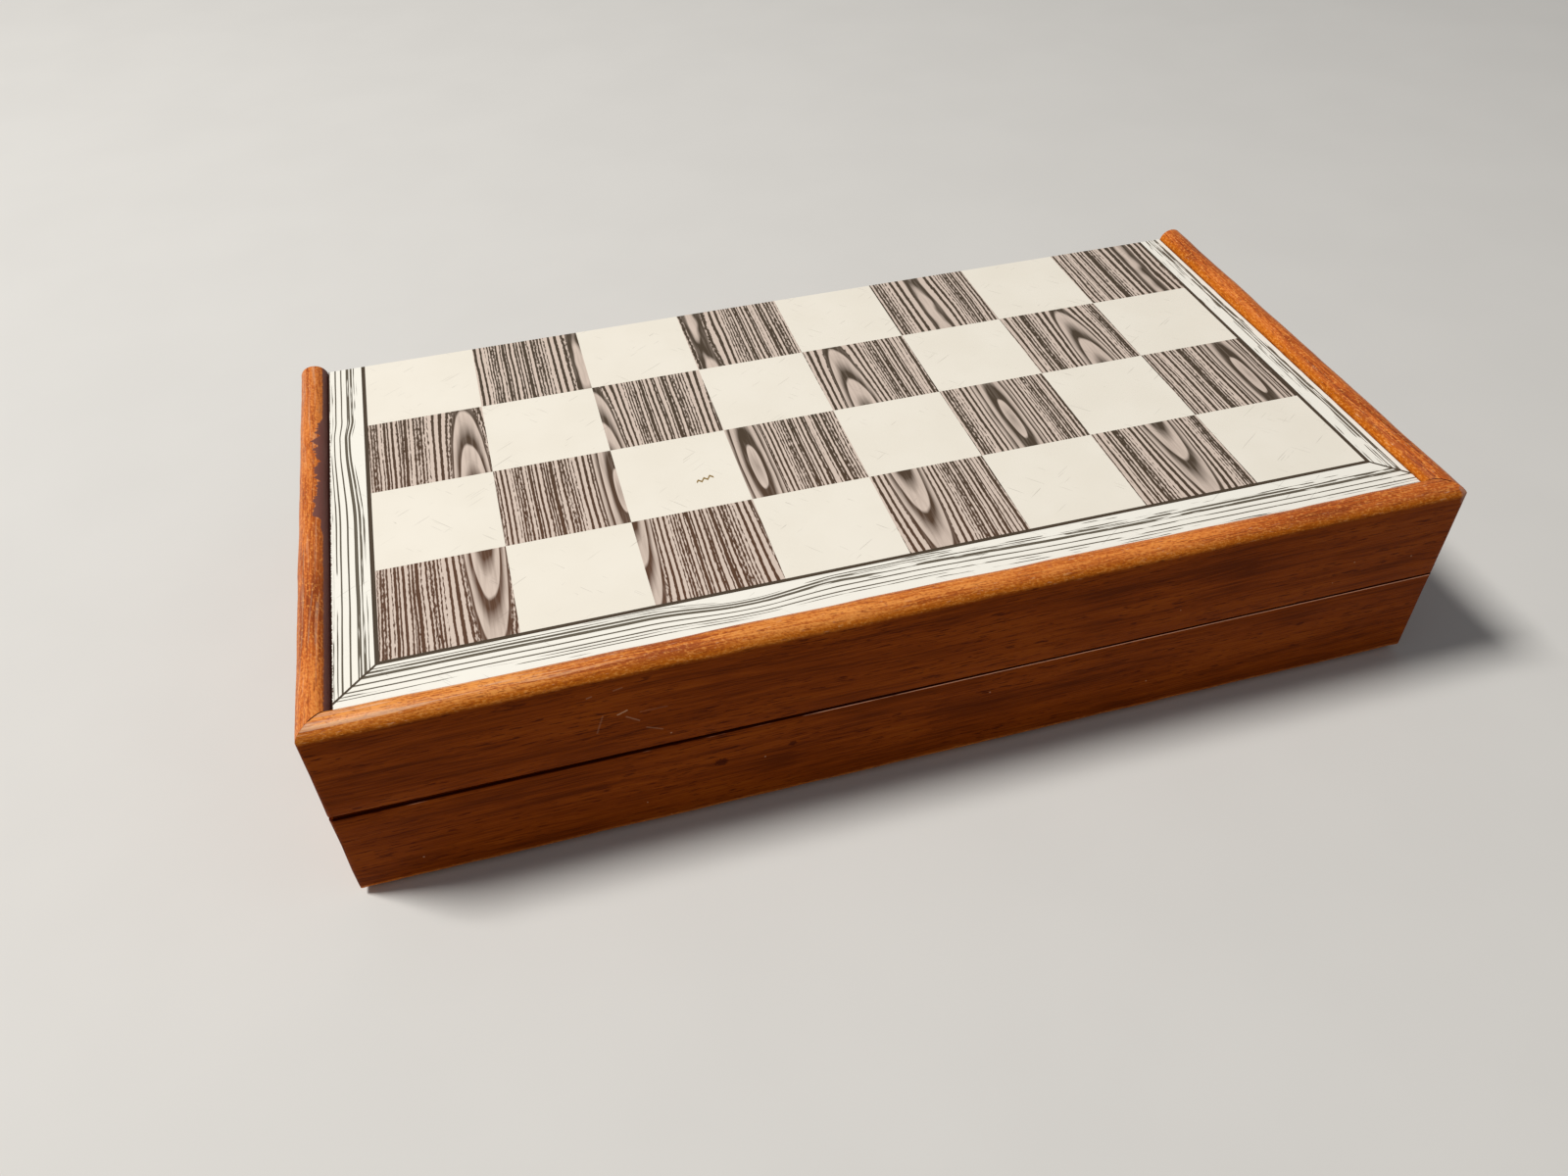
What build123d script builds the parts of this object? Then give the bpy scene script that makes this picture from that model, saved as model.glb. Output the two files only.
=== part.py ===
from build123d import *
import os

# Folding magnetic chess set, closed: two like half cases joined by two butt hinges along the back.
# Each half is a shallow wooden tray whose outer face is half of the board. The men lie in foam inserts.
# X runs along the case, the front is at -Y, the hinges are at +Y, and the case stands on Z = 0.
# Every piece is modelled in the upper half. The lower half is the same half turned over about the seam.

# Board, in millimetres
square = 30.0
squares_long = 8
squares_deep = 4
end_border = 8.8
front_border = 11.7
face_thickness = 0.8
steel_thickness = 0.4
backing_thickness = 3.0
sheet_gap = 0.2

# Rails
rim_gap = 0.3
rail_crest = 7.3  # width of a rail beside the playing face
ledge_width = 3.0  # what the board rests on
hinge_rail_thickness = 10.3
lip_height = 2.7  # how far the rails stand above the playing face
crest_radius = 3.5
rim_arris = 0.4
corner_radius = 1.2

# Hinges
hinge_spread = 150.0
knuckle_length = 8.2
knuckle_gap = 0.2
knuckle_radius = 1.6
knuckle_clearance = 0.3
pin_radius = 0.7
pin_chamfer = 0.2
pin_clearance = 0.05
pin_standoff = 0.15  # from the back of the case to the axis of the pin
leaf_thickness = 0.9
leaf_depth = 8.0
leaf_gap = 0.2  # between the two closed leaves
mortise_gap = 0.1
screw_spread = 14.0
screw_inset = 4.6
screw_radius = 1.0
screw_head_radius = 1.8
screw_length = 9.0
screw_clearance = 0.05
screw_slot_width = 0.5
screw_slot_depth = 0.4
countersink_angle = 90

# Catch magnets in the front rims
catch_spread = 200.0
catch_radius = 3.0
catch_depth = 3.0
catch_clearance = 0.05

# Foam insert
foam_gap = 0.3
foam_arris = 1.0
foam_sink = 4.8  # from the rim to the open side of the foam
foam_floor = 1.0  # foam left under the widest man
foam_end_wall = 6.0  # foam behind the foot of each man
man_gap = 0.3
man_below_rim = 0.8  # every foot lies this far below the rim
trough_floor = 4.0
trough_corner = 5.0
king_reach = 8.0  # how far the finger trough passes under the heads of the back row
pawn_reach = 5.0  # and of the front row

# Men: radius of the foot, of the stem at the neck and of the widest part of the head, and height
king_foot, king_stem, king_head, king_height = 9.5, 3.4, 5.2, 54.0
queen_foot, queen_stem, queen_head, queen_height = 9.5, 3.2, 5.4, 49.0
bishop_foot, bishop_stem, bishop_head, bishop_height = 8.5, 2.9, 4.2, 43.0
knight_foot, knight_head, knight_height = 8.5, 7.6, 37.0
rook_foot, rook_stem, rook_head, rook_height = 8.5, 4.0, 5.8, 34.0
pawn_foot, pawn_stem, pawn_head, pawn_height = 7.5, 2.7, 4.4, 30.0
foot_rim = 2.0
foot_bead = 1.1
collar_reach = 1.6  # how far the collar stands out from the neck
collar_bead = 0.7
felt_thickness = 0.8
felt_inset = 0.4
magnet_radius = 4.0
magnet_thickness = 2.5
magnet_clearance = 0.05

# Details of the heads
cross_height = 6.5
cross_reach = 2.6
cross_width = 1.7
cross_bar_drop = 2.6  # from the top of the cross to the middle of its bar
king_crown_height = 10.4
king_dome = 1.6
queen_crown_height = 10.8
queen_dish = 0.8
queen_ball = 1.5
queen_notch_count = 8
queen_notch_radius = 1.0
mitre_height = 11.0
mitre_widest = 3.6  # height of the widest part above the collar
mitre_ball = 1.2
mitre_ball_seat = 2.0  # from the seat of the ball to its top
mitre_cut = 0.9
mitre_cut_drop = 4.2  # from the top of the mitre to the mouth of the cut
mitre_cut_angle = 35
tower_height = 9.0
tower_flare = 4.5
tower_wall = 1.7
tower_bore = 2.4
tower_gap_count = 5
tower_gap_width = 1.8
tower_gap_depth = 1.5
pawn_ball_seat = 8.1  # from the collar to the top of the ball
knight_plinth = 7.6  # top of the knight's turned foot
knight_oval_reach = 8.7  # half the length of the oval that the horse's head is trimmed to
knight_oval_half_width = 3.6
horse_breast, horse_throat, horse_jaw, horse_poll, horse_ear = 3.3, 2.5, 2.9, 2.2, 1.4  # half widths
cheek_radius = 2.8
cheek_half_width = 3.3
cheek_edge = 0.5
eye_radius = 0.6
ear_gap = 1.2
ear_gap_depth = 2.2
mane_half_width = 3.3
mane_depth = 2.2  # how far the mane reaches over the side of the neck
mane_lock_count = 6

# Places worked out from the sizes above
rail_thickness = rail_crest + ledge_width
board_thickness = face_thickness + steel_thickness + backing_thickness
widest_foot = max(king_foot, queen_foot, bishop_foot, knight_foot, rook_foot, pawn_foot)
half_height = man_below_rim + 2 * widest_foot + foam_floor + board_thickness + lip_height
sheet_length = squares_long * square + 2 * end_border
sheet_depth = squares_deep * square + front_border
case_length = sheet_length + 2 * (sheet_gap + rail_crest)
case_depth = sheet_depth + sheet_gap + rail_crest

right = case_length / 2
left = -right
front = -(case_depth + pin_standoff + knuckle_radius) / 2
back = front + case_depth

seam = half_height + rim_gap / 2
rim = seam + rim_gap / 2
top = rim + half_height
face = top - lip_height
ledge = face - board_thickness
seam_axis = Axis((0, 0, seam), (0, 1, 0))

pin_y = back + pin_standoff
hinge_length = 3 * knuckle_length + 2 * knuckle_gap
hinge_places = (-hinge_spread / 2, hinge_spread / 2)
leaf_underside = seam + leaf_gap / 2
mortise_floor = leaf_underside + leaf_thickness

foam_length = case_length - 2 * (rail_thickness + foam_gap)
foam_front = front + rail_thickness + foam_gap
foam_back = back - hinge_rail_thickness - foam_gap
foam_open = rim + foam_sink  # the foam's open side, which faces down in the upper half
man_pitch = foam_length / squares_long
back_feet = foam_back - foam_end_wall
front_feet = foam_front + foam_end_wall
trough_back = back_feet - king_height + king_reach
trough_front = front_feet + pawn_height - pawn_reach

foot_top = felt_thickness + foot_rim + 2 * foot_bead
collar_height = 2 * collar_bead


# Rails


def rail_section(plane):
    """Cross-section of a rail, on a plane whose x runs inwards from the outer face and whose y runs up."""
    with BuildSketch(plane) as section:
        with BuildLine():
            Polyline(
                (0, rim),
                (rail_thickness, rim),
                (rail_thickness, ledge),
                (rail_crest, ledge),
                (rail_crest, top),
                (0, top),
                close=True,
            )
        make_face()
        fillet(section.vertices().group_by(Axis.Y)[-1], crest_radius)
        fillet(section.vertices().group_by(Axis.Y)[0].sort_by(Axis.X)[0], rim_arris)
    return section.sketch


def case_outline():
    """Plan of the whole case, with its front corners rounded."""
    with BuildSketch() as outline:
        with Locations((0, back)):
            Rectangle(case_length, case_depth, align=(Align.CENTER, Align.MAX))
        fillet(outline.vertices().group_by(Axis.Y)[0], corner_radius)
    return outline.sketch


def front_rail():
    """Long rail at the front, mitred at both ends, with a pocket for each catch magnet."""
    with BuildPart() as rail:
        section_plane = Plane(origin=(0, front, 0), x_dir=(0, 1, 0), z_dir=(1, 0, 0))
        extrude(rail_section(section_plane), amount=right, both=True)
        split(bisect_by=Plane(origin=(left, front, 0), z_dir=(1, -1, 0)), keep=Keep.TOP)
        split(bisect_by=Plane(origin=(right, front, 0), z_dir=(-1, -1, 0)), keep=Keep.TOP)
        extrude(case_outline(), amount=top, mode=Mode.INTERSECT)
        with Locations(*catch_places()):
            Hole(catch_radius, catch_depth)
    return rail


def end_rail(side):
    """Short rail at one end, side -1 or 1: mitred at the front and square at the back."""
    outer = side * right
    with BuildPart() as rail:
        section_plane = Plane(origin=(outer, back, 0), x_dir=(-side, 0, 0), z_dir=(0, side, 0))
        extrude(rail_section(section_plane), amount=-side * case_depth)
        split(bisect_by=Plane(origin=(outer, front, 0), z_dir=(side, 1, 0)), keep=Keep.TOP)
        extrude(case_outline(), amount=top, mode=Mode.INTERSECT)
    return rail


def hinge_rail():
    """Plain rail under the back edge of the board, let in for the hinge leaves and knuckles."""
    mortise_length = hinge_length + 2 * mortise_gap
    mortise_depth = leaf_depth + mortise_gap
    with BuildPart() as rail:
        with BuildSketch(Plane.XY.offset(rim)):
            with Locations((0, back)):
                Rectangle(foam_length + 2 * foam_gap, hinge_rail_thickness, align=(Align.CENTER, Align.MAX))
        extrude(amount=ledge - rim)
        with BuildSketch(Plane.XY.offset(rim)):
            with Locations(*[(x, back) for x in hinge_places]):
                Rectangle(mortise_length, mortise_depth, align=(Align.CENTER, Align.MAX))
        extrude(amount=mortise_floor - rim, mode=Mode.SUBTRACT)
        with Locations(*[pin_place(x) for x in hinge_places]):
            Cylinder(knuckle_radius + knuckle_clearance, mortise_length, mode=Mode.SUBTRACT)
        with Locations(*screw_places(mortise_floor)):
            Hole(screw_radius + screw_clearance, screw_length - leaf_thickness)
    return rail


# Board


def board_sheet(height, thickness):
    """One full layer of the board, from height up."""
    with BuildPart() as layer:
        with BuildSketch(Plane.XY.offset(height)):
            with Locations((0, back)):
                Rectangle(sheet_length, sheet_depth, align=(Align.CENTER, Align.MAX))
        extrude(amount=thickness)
    return layer


# Hinges, screws and catch magnets


def pin_place(x):
    """Place on the pin's axis at x, turned so that its z runs along the axis."""
    return Location((x, pin_y, seam), (0, 90, 0))


def screw_places(height):
    """Planes at the hinge screws, facing down out of the upper rim."""
    return [
        Plane(origin=(x + side * screw_spread / 2, back - screw_inset, height), z_dir=(0, 0, -1))
        for x in hinge_places
        for side in (-1, 1)
    ]


def catch_places():
    """Planes at the catch magnets, facing down out of the upper rim."""
    return [
        Plane(origin=(side * catch_spread / 2, front + rail_thickness / 2, rim), z_dir=(0, 0, -1))
        for side in (-1, 1)
    ]


def hinge_leaves(own, others):
    """Both leaves of one half. own and others are the knuckles' steps from the middle of a hinge."""
    step = knuckle_length + knuckle_gap
    with BuildPart() as leaves:
        with BuildSketch(Plane.XY.offset(leaf_underside)):
            with Locations(*[(x, pin_y) for x in hinge_places]):
                Rectangle(hinge_length, leaf_depth + pin_standoff, align=(Align.CENTER, Align.MAX))
        extrude(amount=leaf_thickness)
        with Locations(*[pin_place(x + k * step) for x in hinge_places for k in others]):
            Cylinder(knuckle_radius + knuckle_clearance, knuckle_length + 2 * knuckle_gap, mode=Mode.SUBTRACT)
        with Locations(*[pin_place(x + k * step) for x in hinge_places for k in own]):
            Cylinder(knuckle_radius, knuckle_length)
        with Locations(*[pin_place(x) for x in hinge_places]):
            Cylinder(pin_radius + pin_clearance, hinge_length, mode=Mode.SUBTRACT)
        with Locations(*screw_places(leaf_underside)):
            CounterSinkHole(
                screw_radius + screw_clearance,
                screw_head_radius + screw_clearance,
                depth=leaf_thickness,
                counter_sink_angle=countersink_angle,
            )
    return leaves


def hinge_pins():
    """Pin through the three knuckles of each hinge."""
    with BuildPart() as pins:
        with Locations(*[pin_place(x) for x in hinge_places]):
            Cylinder(pin_radius, hinge_length)
        chamfer(pins.edges().filter_by(GeomType.CIRCLE), pin_chamfer)
    return pins


def hinge_screws():
    """Slotted countersunk wood screws of one half."""
    head_depth = screw_head_radius - screw_radius
    with BuildPart() as screw:
        with BuildSketch(Plane.XZ):
            with BuildLine():
                Polyline(
                    (0, 0),
                    (screw_head_radius, 0),
                    (screw_radius, -head_depth),
                    (screw_radius, 2 * screw_radius - screw_length),
                    (0, -screw_length),
                    close=True,
                )
            make_face()
        revolve(axis=Axis.Z)
        Box(2 * screw_head_radius, screw_slot_width, 2 * screw_slot_depth, mode=Mode.SUBTRACT)
    with BuildPart() as screws:
        with Locations(*screw_places(leaf_underside)):
            add(screw.part)
    return screws


def catch_magnets():
    """Disc magnets that hold the case shut, flush with the rim."""
    with BuildPart() as magnets:
        with Locations(*catch_places()):
            Cylinder(
                catch_radius - catch_clearance,
                catch_depth,
                align=(Align.CENTER, Align.CENTER, Align.MAX),
            )
    return magnets


# Men, each standing on its felt at the origin, with Z along its axis


def turned_foot(foot, stem, neck):
    """Draws a foot and the stem's sweep up to the neck, with its collar, and returns the collar's top."""
    shoulder = foot - foot_bead
    collar_edge = stem + collar_reach - collar_bead
    rim_top = felt_thickness + foot_rim
    collar_top = neck + collar_height
    Polyline((0, felt_thickness), (foot, felt_thickness), (foot, rim_top), (shoulder, rim_top))
    ThreePointArc((shoulder, rim_top), (foot, rim_top + foot_bead), (shoulder, foot_top))
    EllipticalCenterArc((shoulder, neck), shoulder - stem, neck - foot_top, start_angle=180, arc_size=90)
    Line((stem, neck), (collar_edge, neck))
    collar = (collar_edge, collar_top)
    ThreePointArc((collar_edge, neck), (collar_edge + collar_bead, neck + collar_bead), collar)
    return collar


def ball_line(seat_height, radius, top_height):
    """Draws a ball on the axis from where it is seated to its top, and returns the point of the seat."""
    centre = top_height - radius
    seat = ((radius**2 - (centre - seat_height) ** 2) ** 0.5, seat_height)
    if seat_height < centre:
        ThreePointArc(seat, (radius, centre), (0, top_height))
    else:
        TangentArc((0, top_height), seat, tangent=(1, 0))
    return seat


def magnet_recess():
    """Cuts the recess for the magnet out of the foot."""
    with Locations((0, 0, felt_thickness)):
        Cylinder(
            magnet_radius + magnet_clearance,
            magnet_thickness,
            align=(Align.CENTER, Align.CENTER, Align.MIN),
            mode=Mode.SUBTRACT,
        )


def pawn():
    """Ball on a collar."""
    neck = pawn_height - pawn_ball_seat - collar_height
    with BuildPart() as man:
        with BuildSketch(Plane.XZ):
            with BuildLine():
                collar = turned_foot(pawn_foot, pawn_stem, neck)
                Line(collar, ball_line(collar[1], pawn_head, pawn_height))
                Line((0, pawn_height), (0, felt_thickness))
            make_face()
        revolve(axis=Axis.Z)
        magnet_recess()
    return man


def rook():
    """Hollow tower with a notched parapet."""
    tower_base = rook_height - tower_height
    neck = tower_base - collar_height
    with BuildPart() as man:
        with BuildSketch(Plane.XZ):
            with BuildLine():
                collar = turned_foot(rook_foot, rook_stem, neck)
                Polyline(
                    collar,
                    (rook_stem, tower_base),
                    (rook_head, tower_base + tower_flare),
                    (rook_head, rook_height),
                    (rook_head - tower_wall, rook_height),
                    (rook_head - tower_wall, rook_height - tower_bore),
                    (0, rook_height - tower_bore),
                    (0, felt_thickness),
                )
            make_face()
        revolve(axis=Axis.Z)
        with Locations((0, 0, rook_height)):
            with PolarLocations(rook_head - tower_wall / 2, tower_gap_count):
                Box(2 * tower_wall, tower_gap_width, 2 * tower_gap_depth, mode=Mode.SUBTRACT)
        magnet_recess()
    return man


def bishop():
    """Pointed head with a slanting cut and a small ball on top."""
    mitre_top = bishop_height - mitre_ball_seat
    mitre_base = mitre_top - mitre_height
    with BuildPart() as man:
        with BuildSketch(Plane.XZ):
            with BuildLine():
                collar = turned_foot(bishop_foot, bishop_stem, mitre_base - collar_height)
                Line(collar, (bishop_stem, mitre_base))
                tip = ball_line(mitre_top, mitre_ball, bishop_height)
                ThreePointArc((bishop_stem, mitre_base), (bishop_head, mitre_base + mitre_widest), tip)
                Line((0, bishop_height), (0, felt_thickness))
            make_face()
        revolve(axis=Axis.Z)
        with Locations(Location((bishop_head, 0, mitre_top - mitre_cut_drop), (0, -mitre_cut_angle, 0))):
            Box(2 * bishop_head, 2 * bishop_head, mitre_cut, mode=Mode.SUBTRACT)
        magnet_recess()
    return man


def crown_line(collar, stem, crown, crown_top):
    """Draws the flare from the collar up to the edge of a crown."""
    Line(collar, (stem, collar[1]))
    TangentArc((stem, collar[1]), (crown, crown_top), tangent=(0, 1))


def queen():
    """Flared crown, notched round its edge, with a ball in the middle."""
    crown_top = queen_height - queen_ball
    collar_base = crown_top - queen_crown_height - collar_height
    with BuildPart() as man:
        with BuildSketch(Plane.XZ):
            with BuildLine():
                collar = turned_foot(queen_foot, queen_stem, collar_base)
                crown_line(collar, queen_stem, queen_head, crown_top)
                seat = ball_line(crown_top - queen_dish, queen_ball, queen_height)
                Polyline((queen_head, crown_top), (queen_head - queen_notch_radius, crown_top), seat)
                Line((0, queen_height), (0, felt_thickness))
            make_face()
        revolve(axis=Axis.Z)
        with Locations((0, 0, crown_top)):
            with PolarLocations(queen_head - queen_notch_radius / 2, queen_notch_count):
                Sphere(queen_notch_radius, mode=Mode.SUBTRACT)
        magnet_recess()
    return man


def king():
    """Flared crown with a domed top and a cross."""
    dome_top = king_height - cross_height
    crown_top = dome_top - king_dome
    collar_base = crown_top - king_crown_height - collar_height
    with BuildPart() as man:
        with BuildSketch(Plane.XZ):
            with BuildLine():
                collar = turned_foot(king_foot, king_stem, collar_base)
                crown_line(collar, king_stem, king_head, crown_top)
                TangentArc((0, dome_top), (king_head, crown_top), tangent=(1, 0))
                Line((0, dome_top), (0, felt_thickness))
            make_face()
        revolve(axis=Axis.Z)
        with Locations((0, 0, king_height)):
            Box(
                cross_width,
                cross_width,
                cross_height + king_dome,
                align=(Align.CENTER, Align.CENTER, Align.MAX),
            )
        with Locations((0, 0, king_height - cross_bar_drop)):
            Box(2 * cross_reach, cross_width, cross_width)
        magnet_recess()
    return man


def horse_front():
    """The horse's head and neck as seen from the front, as long as the knight's foot is wide."""
    neck = knight_height - foot_top
    with BuildPart() as front:
        with BuildSketch(Plane.YZ):
            with BuildLine():
                crown = (horse_ear, knight_height)
                Spline(
                    (horse_breast, foot_top),
                    (horse_throat, foot_top + 0.34 * neck),
                    (horse_jaw, foot_top + 0.62 * neck),
                    (horse_poll, foot_top + 0.88 * neck),
                    crown,
                )
                Polyline(crown, (0, knight_height), (0, foot_top), (horse_breast, foot_top))
            make_face()
            mirror(about=Plane.YZ)
        extrude(amount=knight_foot, both=True)
    return front


def horse_oval():
    """Upright oval that the horse's head is trimmed to, so that it thins towards the mane and the nose."""
    with BuildPart() as post:
        with BuildSketch(Plane.XY.offset(foot_top)):
            Ellipse(knight_oval_reach, knight_oval_half_width)
        extrude(amount=knight_height - foot_top)
    return post


def horse_mane(poll, crest, mane):
    """Raised mane along the back of the neck, its inner side cut into locks."""
    outer = ThreePointArc(poll, crest, mane, mode=Mode.PRIVATE)
    inner = []
    for step in range(2 * mane_lock_count + 1):
        share = 1 - step / (2 * mane_lock_count)
        depth = mane_depth if step % 2 else mane_depth / 2
        tip = outer.position_at(share) + outer.tangent_at(share).rotate(Axis.Z, -90) * depth
        inner.append((tip.X, tip.Y))
    with BuildPart() as hair:
        with BuildSketch(Plane.XZ):
            with BuildLine():
                add(outer)
                Polyline(mane, *inner, poll)
            make_face()
        extrude(amount=mane_half_width, both=True)
        add(horse_oval().part, mode=Mode.INTERSECT)
    return hair


def horse_cheek():
    """Round cheek that stands out on both sides of the head."""
    with BuildPart() as cheek:
        disc = Cylinder(cheek_radius, 2 * cheek_half_width, rotation=(90, 0, 0))
        fillet(disc.faces().filter_by(Axis.Y).edges(), cheek_edge)
    return cheek


def horse_head():
    """Head and neck of a horse, with cheeks, eyes, two ears and a mane."""
    reach, base = knight_head, foot_top
    neck = knight_height - base
    breast = (-0.66 * reach, base + 0.08 * neck)
    throat = (-0.18 * reach, base + 0.475 * neck)
    jaw = (-0.56 * reach, base + 0.485 * neck)
    chin = (-0.80 * reach, base + 0.435 * neck)
    lip = (-0.93 * reach, base + 0.445 * neck)
    nose = (-0.92 * reach, base + 0.57 * neck)
    brow = (-0.42 * reach, base + 0.82 * neck)
    forelock = (-0.16 * reach, base + 0.90 * neck)
    ear_front = (-0.07 * reach, knight_height)
    ear_back = (0.01 * reach, knight_height)
    poll = (0.16 * reach, base + 0.885 * neck)
    crest = (0.68 * reach, base + 0.69 * neck)
    mane = (0.80 * reach, base + 0.40 * neck)
    mane_foot = (0.66 * reach, base + 0.34 * neck)
    withers = (0.70 * reach, base + 0.08 * neck)
    with BuildPart() as head:
        with BuildSketch(Plane.XZ):
            with BuildLine():
                ThreePointArc(breast, (-0.58 * reach, base + 0.26 * neck), throat)
                ThreePointArc(throat, (-0.38 * reach, base + 0.468 * neck), jaw)
                Polyline(jaw, chin, lip)
                ThreePointArc(lip, (-1.0 * reach, base + 0.50 * neck), nose)
                ThreePointArc(nose, (-0.65 * reach, base + 0.685 * neck), brow)
                ThreePointArc(brow, (-0.30 * reach, base + 0.87 * neck), forelock)
                Polyline(forelock, ear_front, ear_back, poll)
                ThreePointArc(poll, crest, mane)
                Line(mane, mane_foot)
                ThreePointArc(mane_foot, (0.60 * reach, base + 0.20 * neck), withers)
                Polyline(withers, (0.70 * reach, base), (-0.66 * reach, base), breast)
            make_face()
        extrude(amount=knight_oval_half_width, both=True)
        add(horse_front().part, mode=Mode.INTERSECT)
        add(horse_oval().part, mode=Mode.INTERSECT)
        with Locations((-0.16 * reach, 0, base + 0.625 * neck)):
            add(horse_cheek().part)
        add(horse_mane(poll, crest, mane).part)
        with Locations((-0.44 * reach, 0, base + 0.765 * neck)):
            with Locations((0, horse_jaw, 0), (0, -horse_jaw, 0)):
                Sphere(eye_radius, mode=Mode.SUBTRACT)
        with Locations((0, 0, knight_height)):
            Box(2 * reach, ear_gap, 2 * ear_gap_depth, mode=Mode.SUBTRACT)
    return head


def knight():
    """Turned foot with a carved horse's head."""
    shoulder = knight_foot - foot_bead
    rim_top = felt_thickness + foot_rim
    with BuildPart() as man:
        with BuildSketch(Plane.XZ):
            with BuildLine():
                Polyline(
                    (0, felt_thickness),
                    (knight_foot, felt_thickness),
                    (knight_foot, rim_top),
                    (shoulder, rim_top),
                )
                ThreePointArc((shoulder, rim_top), (knight_foot, rim_top + foot_bead), (shoulder, foot_top))
                TangentArc((0, knight_plinth), (shoulder, foot_top), tangent=(1, 0))
                Line((0, knight_plinth), (0, felt_thickness))
            make_face()
        revolve(axis=Axis.Z)
        add(horse_head().part)
        magnet_recess()
    return man


# Where the men lie: the back row's feet are at the hinges and the pawns' feet are at the front


def man_place(column, foot, row):
    """Plane at the foot of a lying man, row 1 at the back and -1 at the front, with y away from the rim."""
    feet = back_feet if row == 1 else front_feet
    x = (column + 0.5 - squares_long / 2) * man_pitch
    return Plane(origin=(x, feet, rim + man_below_rim + foot), x_dir=(row, 0, 0), z_dir=(0, -row, 0))


# Each kind of man: its name, its solid, foot, head, height and row, and the columns that it lies in
kinds = [
    ("rooks", rook, rook_foot, rook_head, rook_height, 1, (0, 7)),
    ("knights", knight, knight_foot, knight_head, knight_height, 1, (1, 6)),
    ("bishops", bishop, bishop_foot, bishop_head, bishop_height, 1, (2, 5)),
    ("queen", queen, queen_foot, queen_head, queen_height, 1, (3,)),
    ("king", king, king_foot, king_head, king_height, 1, (4,)),
    ("pawns", pawn, pawn_foot, pawn_head, pawn_height, -1, range(squares_long)),
]


def lying(solid, foot, row, columns):
    """Copies of one man, laid in the insert."""
    with BuildPart() as men:
        with Locations(*[man_place(column, foot, row) for column in columns]):
            add(solid.part)
    return men


def all_feet(radius, bottom, thickness):
    """A disc for every man of one colour: radius is worked out from the radius of the man's foot."""
    with BuildPart() as discs:
        for name, solid, foot, head, height, row, columns in kinds:
            with Locations(*[man_place(column, foot, row).offset(bottom) for column in columns]):
                Cylinder(radius(foot), thickness, align=(Align.CENTER, Align.CENTER, Align.MIN))
    return discs


def pocket(foot, head, height):
    """Room for one lying man: his outline with clearance, open towards -Y, where the rim is."""
    with BuildPart() as room:
        with BuildSketch(Plane.XZ) as half_outline:
            with BuildLine():
                Polyline(
                    (0, -man_gap),
                    (foot + man_gap, -man_gap),
                    (foot + man_gap, foot_top + man_gap),
                    (head + man_gap, height / 2),
                    (head + man_gap, height + man_gap),
                    (0, height + man_gap),
                    close=True,
                )
            make_face()
        revolve(axis=Axis.Z)
        with BuildSketch(Plane.XZ):
            add(half_outline.sketch)
            mirror(about=Plane.YZ)
        extrude(amount=2 * foot)
    return room


def foam_insert():
    """Foam block with a pocket for every man and a finger trough between the two rows."""
    rooms = [
        (pocket(foot, head, height), foot, row, columns)
        for name, solid, foot, head, height, row, columns in kinds
    ]
    with BuildPart() as foam:
        with BuildSketch(Plane.XY.offset(foam_open)):
            with Locations((0, foam_back)):
                Rectangle(foam_length, foam_back - foam_front, align=(Align.CENTER, Align.MAX))
        extrude(amount=ledge - foam_open)
        chamfer(foam.faces().sort_by(Axis.Z)[0].edges(), foam_arris)
        with BuildSketch(Plane.XY.offset(foam_open)) as trough:
            with Locations((0, trough_back)):
                trough_length = foam_length - 2 * foam_end_wall
                Rectangle(trough_length, trough_back - trough_front, align=(Align.CENTER, Align.MAX))
            fillet(trough.vertices(), trough_corner)
        extrude(amount=ledge - trough_floor - foam_open, mode=Mode.SUBTRACT)
        for room, foot, row, columns in rooms:
            with Locations(*[man_place(column, foot, row) for column in columns]):
                add(room.part, mode=Mode.SUBTRACT)
    return foam


# Writing the pieces out


def turned_over(piece):
    """The same piece in the lower half."""
    with BuildPart() as turned:
        add(piece.part.rotate(seam_axis, 180))
    return turned


def export(name, piece):
    """Writes one named piece."""
    piece.part.label = name
    export_step(piece.part, f"parts/{name}.step")


def export_halves(piece, upper_name, lower_name):
    """Writes a piece of the upper half and its counterpart in the lower half."""
    export(upper_name, piece)
    export(lower_name, turned_over(piece))


os.makedirs("parts", exist_ok=True)
export_halves(front_rail(), "upper_front_rail", "lower_front_rail")
export_halves(end_rail(-1), "upper_left_rail", "lower_right_rail")
export_halves(end_rail(1), "upper_right_rail", "lower_left_rail")
export_halves(hinge_rail(), "upper_hinge_rail", "lower_hinge_rail")
backing = board_sheet(ledge, backing_thickness)
steel = board_sheet(ledge + backing_thickness, steel_thickness)
laminate = board_sheet(face - face_thickness, face_thickness)
export_halves(backing, "upper_board_backing", "lower_board_backing")
export_halves(steel, "upper_steel_sheet", "lower_steel_sheet")
export_halves(laminate, "upper_playing_face", "lower_playing_face")
export("upper_hinge_leaves", hinge_leaves(own=(0,), others=(-1, 1)))
export("lower_hinge_leaves", turned_over(hinge_leaves(own=(-1, 1), others=(0,))))
export("hinge_pins", hinge_pins())
export_halves(hinge_screws(), "upper_hinge_screws", "lower_hinge_screws")
export_halves(catch_magnets(), "upper_catch_magnets", "lower_catch_magnets")
export_halves(foam_insert(), "upper_foam_insert", "lower_foam_insert")
for name, solid, foot, head, height, row, columns in kinds:
    export_halves(lying(solid(), foot, row, columns), f"black_{name}", f"white_{name}")
magnets = all_feet(lambda foot: magnet_radius, felt_thickness, magnet_thickness)
felts = all_feet(lambda foot: foot - felt_inset, 0, felt_thickness)
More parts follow.
